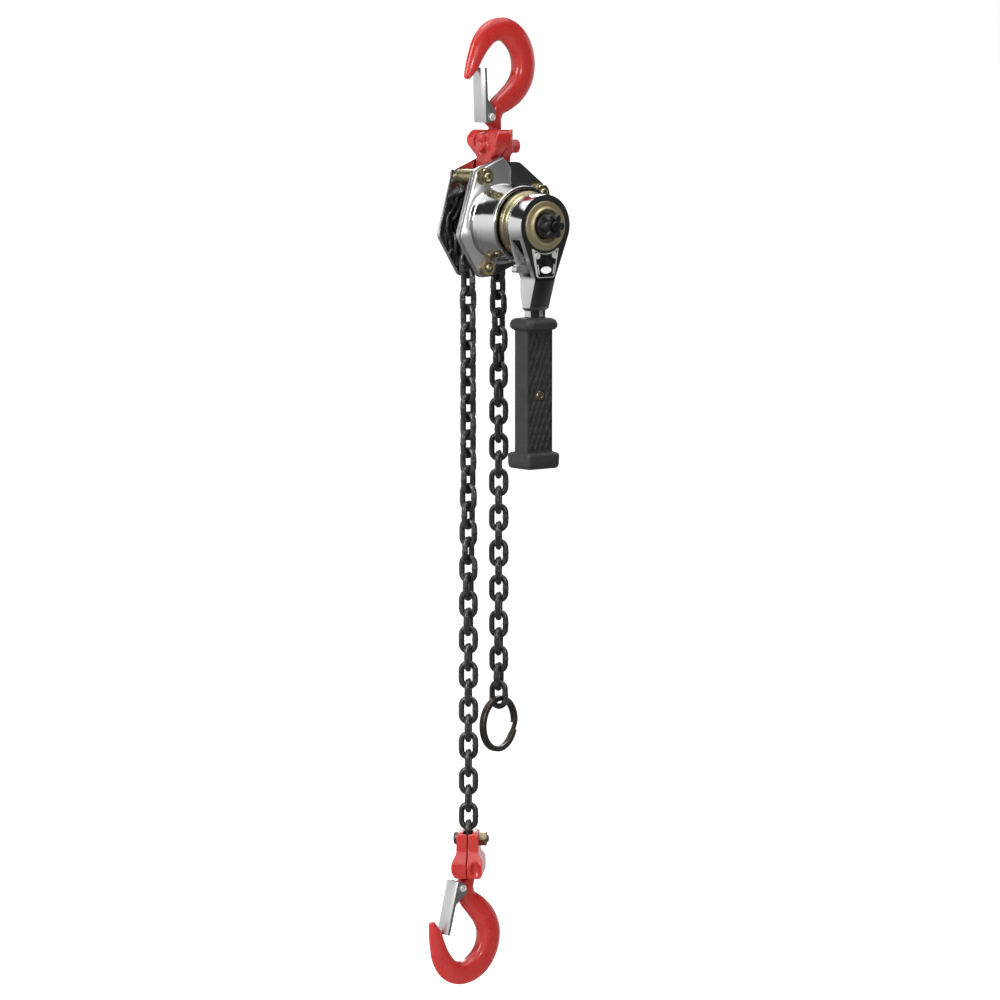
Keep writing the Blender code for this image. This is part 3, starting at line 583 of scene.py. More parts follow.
def at(x, y, z):
    """A point of the hoist in the metres of the frame."""
    return TO_FRAME @ Vector((x, y, z))


def dress_chain():
    bm = bmesh.new()
    for i in range(LOAD_LINKS):
        z = FIRST_LINK_Z - i * PITCH
        twist = turned(LOAD_TWIST, -z)
        link(bm, (-JOINT_R, 0, z), (0, 0, 1), 90 * (i % 2) + twist, **run_ends(i, LOAD_LINKS))
    ends = at(-JOINT_R, 0, -6), at(-JOINT_R, 0, CHAIN_PIN_Z + 24)
    blend = ("housing", "load_chain", *ends)
    to_piece("load_chain_links", bm, "black_steel", None, ["load_chain"], blend=blend)

    bm = bmesh.new()
    for i in range(TAIL_LINKS):
        a, b = tail_point(i), tail_point(i + 1)
        twist = turned(TAIL_TWIST, i)
        link(bm, (a + b) / 2, a - b, 90 * (i % 2) + twist, **run_ends(i, TAIL_LINKS))
    ends = at(TAIL_X, 0, -14), at(TAIL_X, 0, tail_point(TAIL_LINKS - 1).z + 12)
    blend = ("housing", "tail_chain", *ends)
    to_piece("tail_chain_links", bm, "black_steel", None, ["tail_chain"], blend=blend)

    bm = bmesh.new()
    for i in range(SHEAVE_LINKS):
        a, b = joint_point(LOAD_JOINT - i * STEP), joint_point(LOAD_JOINT - (i + 1) * STEP)
        link(bm, (a + b) / 2, b - a, 90.0 if i % 2 == 0 else 0.0)
    # The links on the sheave are drawn darker than the hanging runs of the same chain: painted
    # shade inside the housing.
    to_piece("sheave_chain_links", bm, "black_steel", "housing", ["sheave_chain"], look=SHADE_DARKENED_STEEL)


def dress_ring():
    """Two turns of flattened spring wire, one pressed against the other."""
    last = (tail_point(TAIL_LINKS - 1) + tail_point(TAIL_LINKS)) / 2
    inner, outer, facing = 15.5, 19.0, radians(90 + 14)
    centre = last - Vector((0, 0, LAST_END - WIRE / 2 + inner - 1.7))
    axis = Vector((cos(facing), sin(facing), 0))
    side = Vector((-axis.y, axis.x, 0))
    n = 72
    section = [(inner, -1.02, 0.5), (outer, -1.02, 0.7), (outer, 1.02, 0.7), (inner, 1.02, 0.5)]
    section = rounded(section, 3)
    rings = []
    for i in range(2 * n - 2):
        turn = i / n
        across = -1.1 + 2.2 * min(1, max(0, (turn - 0.94) / 0.1))
        a = tau * turn + radians(200)
        out = side * cos(a) + Vector((0, 0, 1)) * sin(a)
        rings.append([centre + out * r + axis * (t + across) for r, t in section])
    to_piece("end_ring_coil", loft(rings), "bronze_steel", "end_ring", ["end_ring"])


# -------- hooks and yokes

HOOK_STATIONS = [
    (-0.6, -51.0, 5.2, 4.5),
    (1.8, -44.0, 6.6, 4.9),
    (10.6, -38.0, 8.0, 5.5),
    (17.6, -32.4, 8.5, 5.6),
    (22.8, -24.6, 8.7, 5.7),
    (24.3, -15.5, 8.8, 5.8),
    (22.4, -6.2, 8.8, 5.8),
    (17.8, 1.0, 8.8, 5.8),
    (11.2, 6.0, 8.3, 5.7),
    (3.6, 7.9, 7.9, 5.6),
    (-5.0, 5.5, 7.5, 5.3),
    (-12.2, -1.6, 6.8, 4.8),
    (-16.6, -9.6, 5.6, 4.2),
    (-19.9, -17.0, 4.6, 3.6),
    (-23.4, -23.2, 2.5, 2.4),
]
LATCH_PIVOT, LATCH_LEN = (-7.4, -50.2), 33.0


def hook_frame(seat, yaw=0.0, tilt=0.0, lower=False):
    turn = Matrix.Rotation(radians(yaw), 4, "Z")
    if lower:
        turn = turn @ Matrix.Rotation(radians(tilt), 4, "Y") @ Matrix.Scale(-1, 4, (0, 0, 1))
    return Matrix.Translation(seat) @ turn


def yoke_frame(pin_at, yaw, lower=False):
    turn = Matrix.Rotation(radians(yaw), 4, "Z")
    if lower:
        turn = turn @ Matrix.Rotation(pi, 4, "X")
    return Matrix.Translation(pin_at) @ turn


def spline(stations, steps):
    """A smooth curve through the stations, every value of a station carried along."""
    rows = []
    last = len(stations) - 1
    for i in range(last):
        p = [stations[max(0, min(last, i + k))] for k in (-1, 0, 1, 2)]
        for s in range(steps):
            t = s / steps
            weights = (
                (-t + 2 * t**2 - t**3) / 2,
                (2 - 5 * t**2 + 3 * t**3) / 2,
                (t + 4 * t**2 - 3 * t**3) / 2,
                (-(t**2) + t**3) / 2,
            )
            rows.append([sum(w * q[k] for w, q in zip(weights, p)) for k in range(4)])
    return rows + [list(stations[-1])]


def hook_section(depth, thick, n=40):
    """Forged section: nearly flat cheeks, thicker towards the bowl."""
    power, taper = 0.86, 0.22
    points = []
    for i in range(n):
        a = tau * i / n
        u = abs(cos(a)) ** power * (1 if cos(a) >= 0 else -1)
        v = abs(sin(a)) ** power * (1 if sin(a) >= 0 else -1)
        points.append((depth * u, thick * v * (1 - taper * u)))
    return points


def hook_mesh():
    stations = spline(HOOK_STATIONS, 5)
    rings = []
    last = len(stations) - 1
    for i, (x, z, depth, thick) in enumerate(stations):
        ax, az = stations[max(0, i - 1)][:2]
        bx, bz = stations[min(last, i + 1)][:2]
        run = Vector((bx - ax, 0, bz - az)).normalized()
        if i == 0:
            run = Vector((0.2, 0, 0.98)).normalized()
        out = Vector((run.z, 0, -run.x))
        section = hook_section(depth, thick)
        rings.append([Vector((x, 0, z)) + out * u + Vector((0, v, 0)) for u, v in section])
    middle = sum(rings[-1], Vector()) / len(rings[-1])
    tip = rings[-1]
    for t in (0.35, 0.65, 0.88):
        rings.append([middle + (p - middle) * (1 - t * t) ** 0.5 + run * (2.0 * t) for p in tip])
    neck = [[Vector((x, y, z)) for x, y in circle(4.4, 40)] for z in (-61.6, -57, -54)]
    ear = [(-11.3, -50.2, 3.4), (-3.6, -56.6, 1), (0, -55.6, 0), (0, -45.5, 0), (-9, -46.4, 2)]
    return carve(loft(neck + rings), prism(rounded(ear), -4.1, 4.1), operation="UNION")


def dress_hook(name, place, body, latch_body):
    to_piece(f"{name}_forging", hook_mesh(), "red_paint", body, [name], place, forge=0.55)
    prefix = name.split("_")[0]
    px, pz = LATCH_PIVOT
    hinge = place @ Matrix.Translation((px, 0, pz)) @ Matrix.Rotation(radians(-2), 4, "Y")

    outer, inner = 6.6, 5.4
    channel = [(-6.4, -3.5, 0.5), (-5.2, -outer, 0.5), (6, -outer, 0), (6, -inner, 0)]
    channel += [(-5.2, -inner, 0.6), (-5.2, inner, 0.6), (6, inner, 0), (6, outer, 0)]
    channel += [(-5.2, outer, 0.5), (-6.4, 3.5, 0.5)]
    sheet = prism(rounded(channel, 6), -8, LATCH_LEN + 4, axis="Z")
    side = [(-8, -3.4, 0), (1.5, -3.6, 2.2), (3.4, 3.2, 2.5), (-3.1, 12, 3)]
    side += [(-3.4, LATCH_LEN, 0.8), (-8, LATCH_LEN, 0)]
    sheet = carve(sheet, prism(rounded(side), -9, 9), operation="INTERSECT")
    front = rounded([(-8.5, -8, 0), (8.5, -8, 0), (8.5, LATCH_LEN, 2.6), (-8.5, LATCH_LEN, 2.6)])
    sheet = carve(sheet, prism(front, -9, 6, axis="X"), operation="INTERSECT")
    sheet = carve(sheet, prism(circle(1.8, 24), -9, 9))
    nodes = [f"{prefix}_latch"]
    to_piece(f"{prefix}_latch_sheet", sheet, "zinc_plate", latch_body, nodes, hinge, edge=0.12)

    head = [(-7.75, 0.3), (-7.55, 0.9), (-7.45, 1.3), (-7.8, 1.6), (-7.75, 2.05), (-7.3, 2.4)]
    shape = head + [(-6.75, 2.4), (-6.75, 1.55), (6.75, 1.55), (6.75, 2.4)]
    shape += [(7.3, 2.35), (7.65, 1.9)]
    pin = lathe(shape, 32)
    nodes = [f"{prefix}_latch_pin"]
    to_piece(f"{prefix}_latch_rivet", pin, "zinc_plate", body, nodes, hinge, look=SATIN_ZINC)


def nut_mesh(centre, seat, across, height, hole):
    """A chamfered hexagon nut that stands on the plane y = seat and points to -Y."""
    blank = prism(circle(across / (2 * cos(pi / 6)), 6, centre), seat, seat - height)
    tip = across / (2 * cos(pi / 6))
    cone = [(seat + 0.1, tip - 0.3), (seat - 0.5, tip + 0.1), (seat - height + 0.9, tip + 0.1)]
    cone += [(seat - height - 0.1, across / 2 - 0.1)]
    shape = carve(blank, lathe(cone, 48, centre=centre), operation="INTERSECT")
    bore = [(seat + 1, hole), (seat - height + 0.4, hole), (seat - height - 0.2, hole + 0.6)]
    return carve(shape, lathe(bore, 32, centre=centre))


# Half the plan of the upper yoke's nut side, from the joint outwards
NUT_SIDE = [(0, -17), (2.4, -15.6), (7.0, -10.5), (12, -4.6)]


def dress_yoke(prefix, place, across_pin, body):
    """Two forged halves, drawn together by a bolt, round the swivel head of the hook."""
    top = -YOKE_NECK
    leg, end = (7.4, -7.5) if across_pin else (9.6, -5.2)
    foot = top - 18.2 if across_pin else top - 19  # the upper shoulders clear the side plates
    right = [(leg, end, 3.5), (leg, foot, 4), (16.4, foot + 9, 5), (15.6, top - 0.2, 5)]
    outline = rounded(right + [(-y, z, r) for y, z, r in right[::-1]])
    wide = 11.6 if across_pin else 10.4
    high, low = (4.0, 8.1) if across_pin else (2.6, 8.6)
    bolt_z, boss_z = top - 12.0 if across_pin else 0.0, top - 5.4
    for tag, side in (("a", -1), ("b", 1)):
        depth = [(0.2, end - 0.1, 0), (7.3, end - 0.1, 2.4), (7.6, top - 17, 3)]
        if side > 0 and across_pin:
            depth += [(wide, top - 12, 3), (wide, top - 7, 2), (9.4, top - 2, 2), (7.0, top, 1)]
        elif side > 0:
            depth += [(wide, top - 13, 3), (wide, top - 2.5, 2), (8.0, top, 1)]
        else:
            depth += [(wide, top - 11, 5), (wide, top - 6, 4), (8.4, top - 1, 1), (6.6, top, 1)]
        if side < 0 and across_pin:
            depth[1:3] = [(10.2, end - 0.1, 2.4), (10.4, top - 17, 3)]
        depth += [(0.2, top, 0)]
        blank = prism(outline, 0.2, 11.6, axis="X")
        half = carve(blank, prism(rounded(depth), -20, 20), operation="INTERSECT")
        rings = []
        for z, r in ((top + 2, 5.2), (top - high, 5.2), (top - high, 8.2), (top - low, 8.2)):
            rings.append([(x, y, z) for x, y in circle(r, 32)])
        cuts = [loft(rings)]
        if across_pin:
            cuts.append(lathe([(-12, 3.7), (12, 3.7)], 32))
            if side < 0:  # a heart-shaped hollow round the boss and the bolt head
                outline_in = [(9.5, top - 2.4, 4), (-13.6, top - 2.4, 4), (-13.6, top - 13, 5)]
                outline_in += [(-6.5, top - 23, 1.2), (-5, top - 23, 1.2), (8.5, top - 11, 5)]
                heart = prism(rounded(outline_in), wide - 2.3, wide + 5, axis="X")
                for z, r in ((boss_z, 3.6), (bolt_z, 3.9)):
                    heart = carve(heart, prism(circle(r, 32, (0, z)), 5, 20, axis="X"))
                cuts.append(heart)
        else:
            pocket = [(8.1, -9.0), (8.1, 2.8), (5.2, 8.4)]
            cuts.append(prism(pocket + [(-y, z) for y, z in pocket[::-1]], -2.9, 2.9, axis="X"))
            if side > 0:  # an egg-shaped hollow in the corner
                egg = [(-1, 0.1), (-0.9, 0.45), (-0.5, 0.86), (0, 1), (0.5, 0.86), (0.9, 0.45)]
                hollow = lathe(egg + [(1, 0.1)], 32)
                size = Matrix.Diagonal((3.6, 3.8, 6.4, 1))
                hollow.transform(Matrix.Translation((6.2, 16.6, top - 7.4)) @ size)
                cuts.append(hollow)
        cuts.append(prism(circle(2.8, 24, (0, bolt_z)), -20, 20, axis="X"))
        half = carve(half, *cuts)
        if side < 0:
            boss = ((-2, 3.0), (0, 2.9), (0.7, 2.5), (1.1, 1.7), (1.25, 0.6))
            dome = [[(wide + x, y, boss_z + z) for y, z in circle(r, 32)] for x, r in boss]
            half = carve(half, loft(dome), operation="UNION")
        if across_pin and side > 0:  # the half under the nut narrows away from the joint
            plan = prism(NUT_SIDE + [(x, -y) for x, y in NUT_SIDE[::-1]], -20, 40, axis="Z")
            half = carve(half, plan, operation="INTERSECT")
        flip = Matrix.Scale(side, 4, (1, 0, 0)) if side < 0 else Matrix()
        name, nodes = f"{prefix}_yoke_forging_{tag}", [f"{prefix}_yoke_half_{tag}"]
        to_piece(name, half, "red_paint", body, nodes, place @ flip, forge=0.5)

    seat = 11.6 if across_pin else 7.5
    paint = "red_paint" if across_pin else "black_steel"
    turn = Matrix.Translation((0, 0, bolt_z)) @ Matrix.Rotation(radians(90), 4, "Z")
    k = 0.77 if across_pin else 1.0
    head = [(seat, 2.5), (seat, 4.4 * k), (seat + 1.2 * k, 4.4 * k), (seat + 2.3 * k, 3.6 * k)]
    head += [(seat + 2.7 * k, 1.6 * k)]
    nut_h = 6.5 if across_pin else 5.0
    shank = [(-seat - nut_h - t, r) for t, r in ((1.4, 1.4), (1.0, 2.2), (0.6, 2.5))]
    bolt = lathe(shank + head, 40)
    where = place @ turn
    to_piece(f"{prefix}_yoke_cap_bolt", bolt, paint, body, [f"{prefix}_yoke_bolt"], where)
    nut = nut_mesh((0, 0), -seat, 9, nut_h, 2.55)
    paint = "red_paint" if across_pin else "zinc_yellow"
    to_piece(f"{prefix}_yoke_hex_nut", nut, paint, body, [f"{prefix}_yoke_nut"], where, edge=0.15)


# -------- body

BODY_CORNERS = [
    (-20, 35, 3),
    (3.5, 44.4, 3),
    (7, 40.2, 4),
    (14, 40.2, 4),
    (19, 39.5, 4),
    (45, 20, 7),
    (40.5, -5, 10),
    (19, -27, 12),
    (-5, -35.4, 5),
    (-15.4, -36.0, 5),
    (-33.2, -8, 7),
]


def hole(r, lo=-25, hi=25, centre=(0, 0), n=32):
    return lathe([(lo, r), (hi, r)], n, centre=centre)


def dress_plates():
    for side, lo, hi in (("front", -PLATE_OUT, -PLATE_IN), ("rear", PLATE_IN, PLATE_OUT)):
        keys = "abc" if side == "front" else "ac"
        cuts = [hole(BOLT_R + CLEAR, centre=STAYS[key]) for key in keys]
        cuts += [hole(8.3), hole(3.7, centre=(HOOK_X, PIN_Z))]
        plate = carve(prism(rounded(BODY_CORNERS, 7), lo, hi), *cuts)
        name = f"side_plate_{side}"
        look = SATIN if side == "front" else None
        to_piece(f"{name}_sheet", plate, "chrome", "housing", [name], edge=0.9, look=look)


COVER_CORNERS = [(-19.4, 34.2, 3), (3.2, 43.6, 2), (9.6, 36.5, 3), (9.0, 22, 0), (-3.0, -24, 0)]
COVER_CORNERS += [(-6.6, -34.6, 3), (-15.2, -35.2, 4.8), (-32.4, -8, 6.6)]


def dense(outline, step):
    """The same outline with extra points, so that no side is longer than step."""
    points = []
    for (ax, az), (bx, bz) in zip(outline, outline[1:] + outline[:1]):
        n = max(1, int(hypot(bx - ax, bz - az) / step))
        points += [(ax + (bx - ax) * k / n, az + (bz - az) * k / n) for k in range(n)]
    return points


def dress_covers():
    """The brake cover is pressed: a dished flange on the load side, a fillet, drum and lip."""
    outline = dense(rounded(COVER_CORNERS), 1.2)
    middle = Vector((-9, 0))
    rings = []

    def ring(y, inset, share):
        """share 0 is the outline, 1 the foot of the drum."""
        points = []
        for x, z in outline:
            p = Vector((x, z))
            p -= (p - middle).normalized() * inset
            foot = p.normalized() * min(p.length, DRUM_R + 0.2)
            p = p.lerp(foot, share)
            points.append((p.x, y, p.y))
        rings.append(points)

    ring(-12.3, 0.2, 0)
    ring(-13.3, 0, 0)
    ring(-13.9, 0.15, 0)
    ring(-14.3, 0.6, 0)
    for k in range(1, 13):
        ring(-14.3 - 3.4 * (k / 12) ** 1.35, 0.6, k / 12)
    ring(-12.3, 0.6, 1)
    cuts = [hole(BOLT_R + CLEAR, -20, -10, centre=STAYS[key]) for key in "ab"]
    flange = carve(loft(rings, closed=True), *cuts)
    to_piece("brake_cover_flange", flange, "chrome", "housing", ["brake_cover"], look=DULL)

    profile = [(-12.4, 25.4, 0), (-16.0, 27.4, 0.4), (-18.2, 25.4, 2.2), (-24, 25.0, 1.5)]
    profile += [(-37.4, 24.7, 0.8), (-38.6, 25.5, 0.5), (-40.5, 25.5, 0.7)]
    profile += [(-40.5, 23.2, 0.6), (-38.0, 23.2, 0)]
    drum = lathe(soft_profile(profile), 96, bore=23.1)
    to_piece("brake_cover_drum", drum, "chrome", "housing")

    profile = [(12.3, 20, 0), (12.3, 23, 0.3), (14.2, 23, 0.8), (15.4, 20, 2.0), (18.6, 12.4, 2.0)]
    profile += [(20.0, 11.3, 0.6), (20.0, 0.5, 0)]
    dome = lathe(soft_profile(profile), 96)
    to_piece("back_cover_dome", dome, "chrome", "housing", ["back_cover"])


def dress_stays():
    for key, centre in STAYS.items():
        if key != "b":
            tube = [(-8.9, 4.3), (-8.6, 4.6), (8.6, 4.6), (8.9, 4.3)]
            spacer = lathe(tube, 40, bore=3.0, centre=centre)
            nodes = [f"stay_spacer_{key}"]
            to_piece(f"stay_tube_{key}", spacer, "zinc_yellow", "housing", nodes)
        head = 8.7 if key == "b" else -12.3
        face = -12.3 if key == "c" else -14.6
        tip = face - 6.8
        shape = [(-head, BOLT_R), (tip + 1, BOLT_R), (tip + 0.3, 2.4), (tip, 1.7), (tip, 0.2)]
        cap = [(16.2, 0.4), (16.1, 3.4), (15.2, 4.9), (12.3, 5.2)]
        if key == "b":
            cap = [(-head + 1.4, 4.0), (-head, 4.6)]
        bolt = lathe(cap + shape, 40, centre=centre)
        to_piece(f"stay_rod_{key}", bolt, "zinc_yellow", "housing", [f"stay_bolt_{key}"])
        rim = [(face + 0.1, 5.7), (face - 0.1, 5.9), (face - 1.0, 5.9), (face - 1.2, 5.6)]
        washer = lathe(rim, 48, bore=3.1, centre=centre)
        nut = nut_mesh(centre, face - 1.2, 10, 3.8, 3.0)
        nodes = [f"stay_nut_{key}"]
        both = merge([washer, nut])
        to_piece(f"stay_hex_nut_{key}", both, "zinc_yellow", "housing", nodes, edge=0.12)


def dress_sheave():
    groove = [(-8.3, 14.2), (-8.0, 14.5), (-2.9, 14.5), (-2.4, 7.2)]
    groove += [(-y, r) for y, r in groove[::-1]]
    sheave = lathe(groove, 72, bore=SHAFT_R + CLEAR)
    cuts = []
    for k in range(POCKETS):
        turn = Matrix.Rotation(radians(90 - (LOAD_JOINT - STEP / 2 + 90 * k)), 4, "Y")
        outline = rounded([(-10.5, -7.1, 5), (10.5, -7.1, 5), (10.5, 7.1, 5), (-10.5, 7.1, 5)], 4)
        one = prism(outline, 11.4, 24, axis="Z")
        one.transform(turn)
        cuts.append(one)
    sheave, nodes = carve(sheave, *cuts), ["load_sheave"]
    # The sheave is drawn darker than turned steel: painted shade between the side plates.
    to_piece("pocketed_sheave", sheave, "machined_steel", "drive", nodes, edge=0.25, look=SHADE_DARKENED_STEEL)


# -------- lever


def dress_lever():
    turns = [radians(d) for d in range(-108, 109, 4)]
    outline = [(HEAD_R * sin(a), HEAD_R * cos(a)) for a in turns]
    right = [(8.4, -34.5, 6), (8.1, -54.5, 1.2), (6.2, -56.0, 0.8), (6.2, -155.0, 0)]
    left = [(-x, z, r) for x, z, r in right[::-1]]
    outline += rounded([(19, -6, 0)] + right + left + [(-19, -6, 0)])[1:-1]
    body = prism(outline, *HEAD_Y[::-1])
    side = [(HEAD_Y[0], 22, 0), (HEAD_Y[1], 22, 0), (HEAD_Y[1], -34.5, 14), (-56.0, -54.5, 5)]
    side += [(GRIP_Y - 3.3, -56.5, 0), (GRIP_Y - 3.3, -160, 0), (GRIP_Y + 3.3, -160, 0)]
    side += [(GRIP_Y + 3.3, -52, 6), (HEAD_Y[0], -46, 8)]
    body = carve(body, prism(rounded(side), -30, 30, axis="X"), operation="INTERSECT")
    cuts = [
        hole(17.6, -60.2, -40, n=72),
        hole(16.6, -70, -59, n=72),
        box((-30, 5.2), (-58.7, -50.4), (-33.5, -9.0)),
        hole(2.3, -60.4, -40, centre=(0, SELECTOR_Z)),
        box((-4.1, 4.1), (-70, GRIP_Y - 1.0), (-64, -55.6)),
    ]
    cuts += [hole(1.3, -70, -60.4, centre=(x, RIVET_Z), n=16) for x in RIVET_X]
    body = carve(body, *cuts)
    to_piece("lever_shell", body, "chrome", "lever", ["lever_body"], edge=0.6)


def dress_lever_discs():
    profile = [(-41.2, 20, 0), (-41.2, 22.2, 0.4), (-45.0, 22.2, 0.8)]
    profile += [(-46.3, 20.4, 0.4), (-46.3, 19, 0)]
    disc = lathe(soft_profile(profile), 96, bore=9.3)
    to_piece("lever_backing_disc", disc, "zinc_yellow", "lever", ["lever_back_disc"])

    profile = [(-61.0, 16.0, 0), (-61.0, 16.3, 0.1), (-63.1, 16.3, 0.5), (-63.4, 12.6, 1.4)]
    profile += [(-64.9, 11.6, 0.5), (-64.9, 10.7, 0.4), (-63.0, 10.3, 0.5), (-62.6, 9.4, 0)]
    face = lathe(soft_profile(profile), 96, bore=8.9)
    to_piece("lever_face_disc", face, "zinc_yellow", "lever", ["lever_front_disc"], look=SATIN_GOLD)


def label_outline(inset):
    r = 18.4 + inset
    arc = [(r * sin(radians(d)), 0.2 - r * cos(radians(d))) for d in range(-35, 36, 5)]
    arc = [(x, z) for x, z in arc if abs(x) < 10.8 - inset]
    low, half = -33.9 + inset, 6.9 - inset
    foot = rounded([(10, -20, 0), (half, low, 1.6), (-half, low, 1.6), (-10, -20, 0)], 5)[1:-1]
    return arc + foot


def dress_label():
    """A black plate with a bare metal edge and a blank oval, held by two rivets."""
    plate = prism(label_outline(0.35), -62.75, -63.25)
    holes = [hole(1.2, -70, -60, centre=(x, RIVET_Z), n=16) for x in RIVET_X]
    plate = carve(plate, *holes)
    to_piece("label_plate", plate, "label_black", "lever", ["lever_label"], edge=0.08)
    rim = carve(prism(label_outline(0.0), -62.55, -63.4), prism(label_outline(0.42), -60, -66))
    to_piece("label_rim", rim, "zinc_plate", "lever", edge=0.08, look=SATIN_ZINC)
    strokes = []
    for side in (-1, 1):
        ends = ((7.0, -25.2), (6.6, -25.2), (5.6, -31.4), (6.0, -31.4))
        strokes.append(prism([(side * x, z) for x, z in ends], -62.9, -63.36))
    to_piece("label_strokes", merge(strokes), "label_black", "lever", look=WHITE, edge=0.06)
    oval = [(4.4 * cos(tau * k / 48), -28.9 + 2.3 * sin(tau * k / 48)) for k in range(48)]
    oval = prism(oval, -62.9, -63.38)
    to_piece("label_oval", oval, "label_black", "lever", look=WHITE, edge=0.08)
    for tag, x in zip(("left", "right"), RIVET_X):
        profile = [(-61.0, 1.0), (-63.25, 1.0), (-63.25, 2.15), (-63.7, 2.1), (-64.0, 1.8)]
        profile += [(-64.05, 1.0), (-63.8, 0.8), (-63.8, 0.1)]
        rivet = lathe(profile, 32, centre=(x, RIVET_Z))
        name, nodes = f"label_pop_rivet_{tag}", [f"label_rivet_{tag}"]
        to_piece(name, rivet, "zinc_plate", "lever", nodes, look=SATIN_ZINC)


def dress_selector():
    pawl = prism(circle(4.4, 40, (0, SELECTOR_Z)), -50.9, -58.2)
    outline = [(-1, -21.0, 0), (-10, -26.6, 2), (-19.4, -28.4, 1.4), (-19.4, -32.6, 1.6)]
    arm = prism(rounded(outline + [(-9.8, -32.6, 2), (-2, -27.6, 0)]), -52.0, -57.2)
    hub_at = Matrix.Translation((0, 0, SELECTOR_Z))
    arm.transform(hub_at @ Matrix.Rotation(radians(7), 4, "Y") @ hub_at.inverted())
    pawl = carve(carve(pawl, arm, operation="UNION"), hole(2.3, -62, -45, centre=(0, SELECTOR_Z)))
    to_piece("selector_pawl", pawl, "zinc_plate", "selector", ["selector"], edge=0.6)


def dress_knob():
    """A moulded knob with six finger lobes, turned by hand to free the chain."""
    n, rings = 96, []
    core, lobe_at, lobe_r = 5.5, 5.6, 2.5
    skirt = [(-60.6, 8.2), (-61.0, 8.4), (-65.0, 8.4), (-65.5, 7.6), (-65.7, 6.6)]
    lobes = [(-66.2, 0.0), (-66.8, 0.5), (-71.2, 0.5), (-72.3, 0.2), (-72.8, -0.5)]
    for y, r in skirt:
        rings.append([(x, y, z) for x, z in circle(r, n)])
    for y, swell in lobes:
        ring = []
        for i in range(n):
            a = tau * i / n
            off = abs((a + pi / 6) % (pi / 3) - pi / 6)
            lobe = max(0.0, lobe_r**2 - (lobe_at * sin(off)) ** 2)
            r = max(core, lobe_at * cos(off) + lobe**0.5) + swell
            ring.append((r * cos(a), y, r * sin(a)))
        rings.append(ring)
    for y, r in ((-73.0, 4.6), (-72.4, 3.7), (-70.6, 3.7), (-70.6, 5.3), (-60.6, 5.3)):
        rings.append([(x, y, z) for x, z in circle(r, n)])
    knob = loft(rings, closed=True)
    to_piece("chain_release_knob", knob, "black_steel", "drive", ["free_chain_knob"], look=PLASTIC)
    profile = [(17.6, 0.3), (17.6, 4.4), (17.1, SHAFT_R), (-70.2, SHAFT_R), (-70.2, 3.4)]
    shaft = lathe(profile + [(-73.6, 3.4), (-74.1, 2.9), (-74.1, 0.9), (-72.6, 0.2)], 48)
    # The shaft is drawn darker than turned steel: painted shade on its end in the knob's hub, in
    # place of its highlight.
    to_piece("turned_shaft", shaft, "machined_steel", "drive", ["drive_shaft"], look=SHADE_DARKENED_STEEL)


def knurl(across, along):
    """Height of the diamond pattern: thin raised ribs that cross at a steep angle."""
    slope, spacing, width = 0.4, 4.4, 0.2
    height = 0.0
    for lean in (-1, 1):
        phase = ((across + lean * along * slope) / spacing) % 1.0
        height = max(height, min(1.0, max(0.0, 1.5 - abs(phase - 0.5) * 2 / width)))
    return height


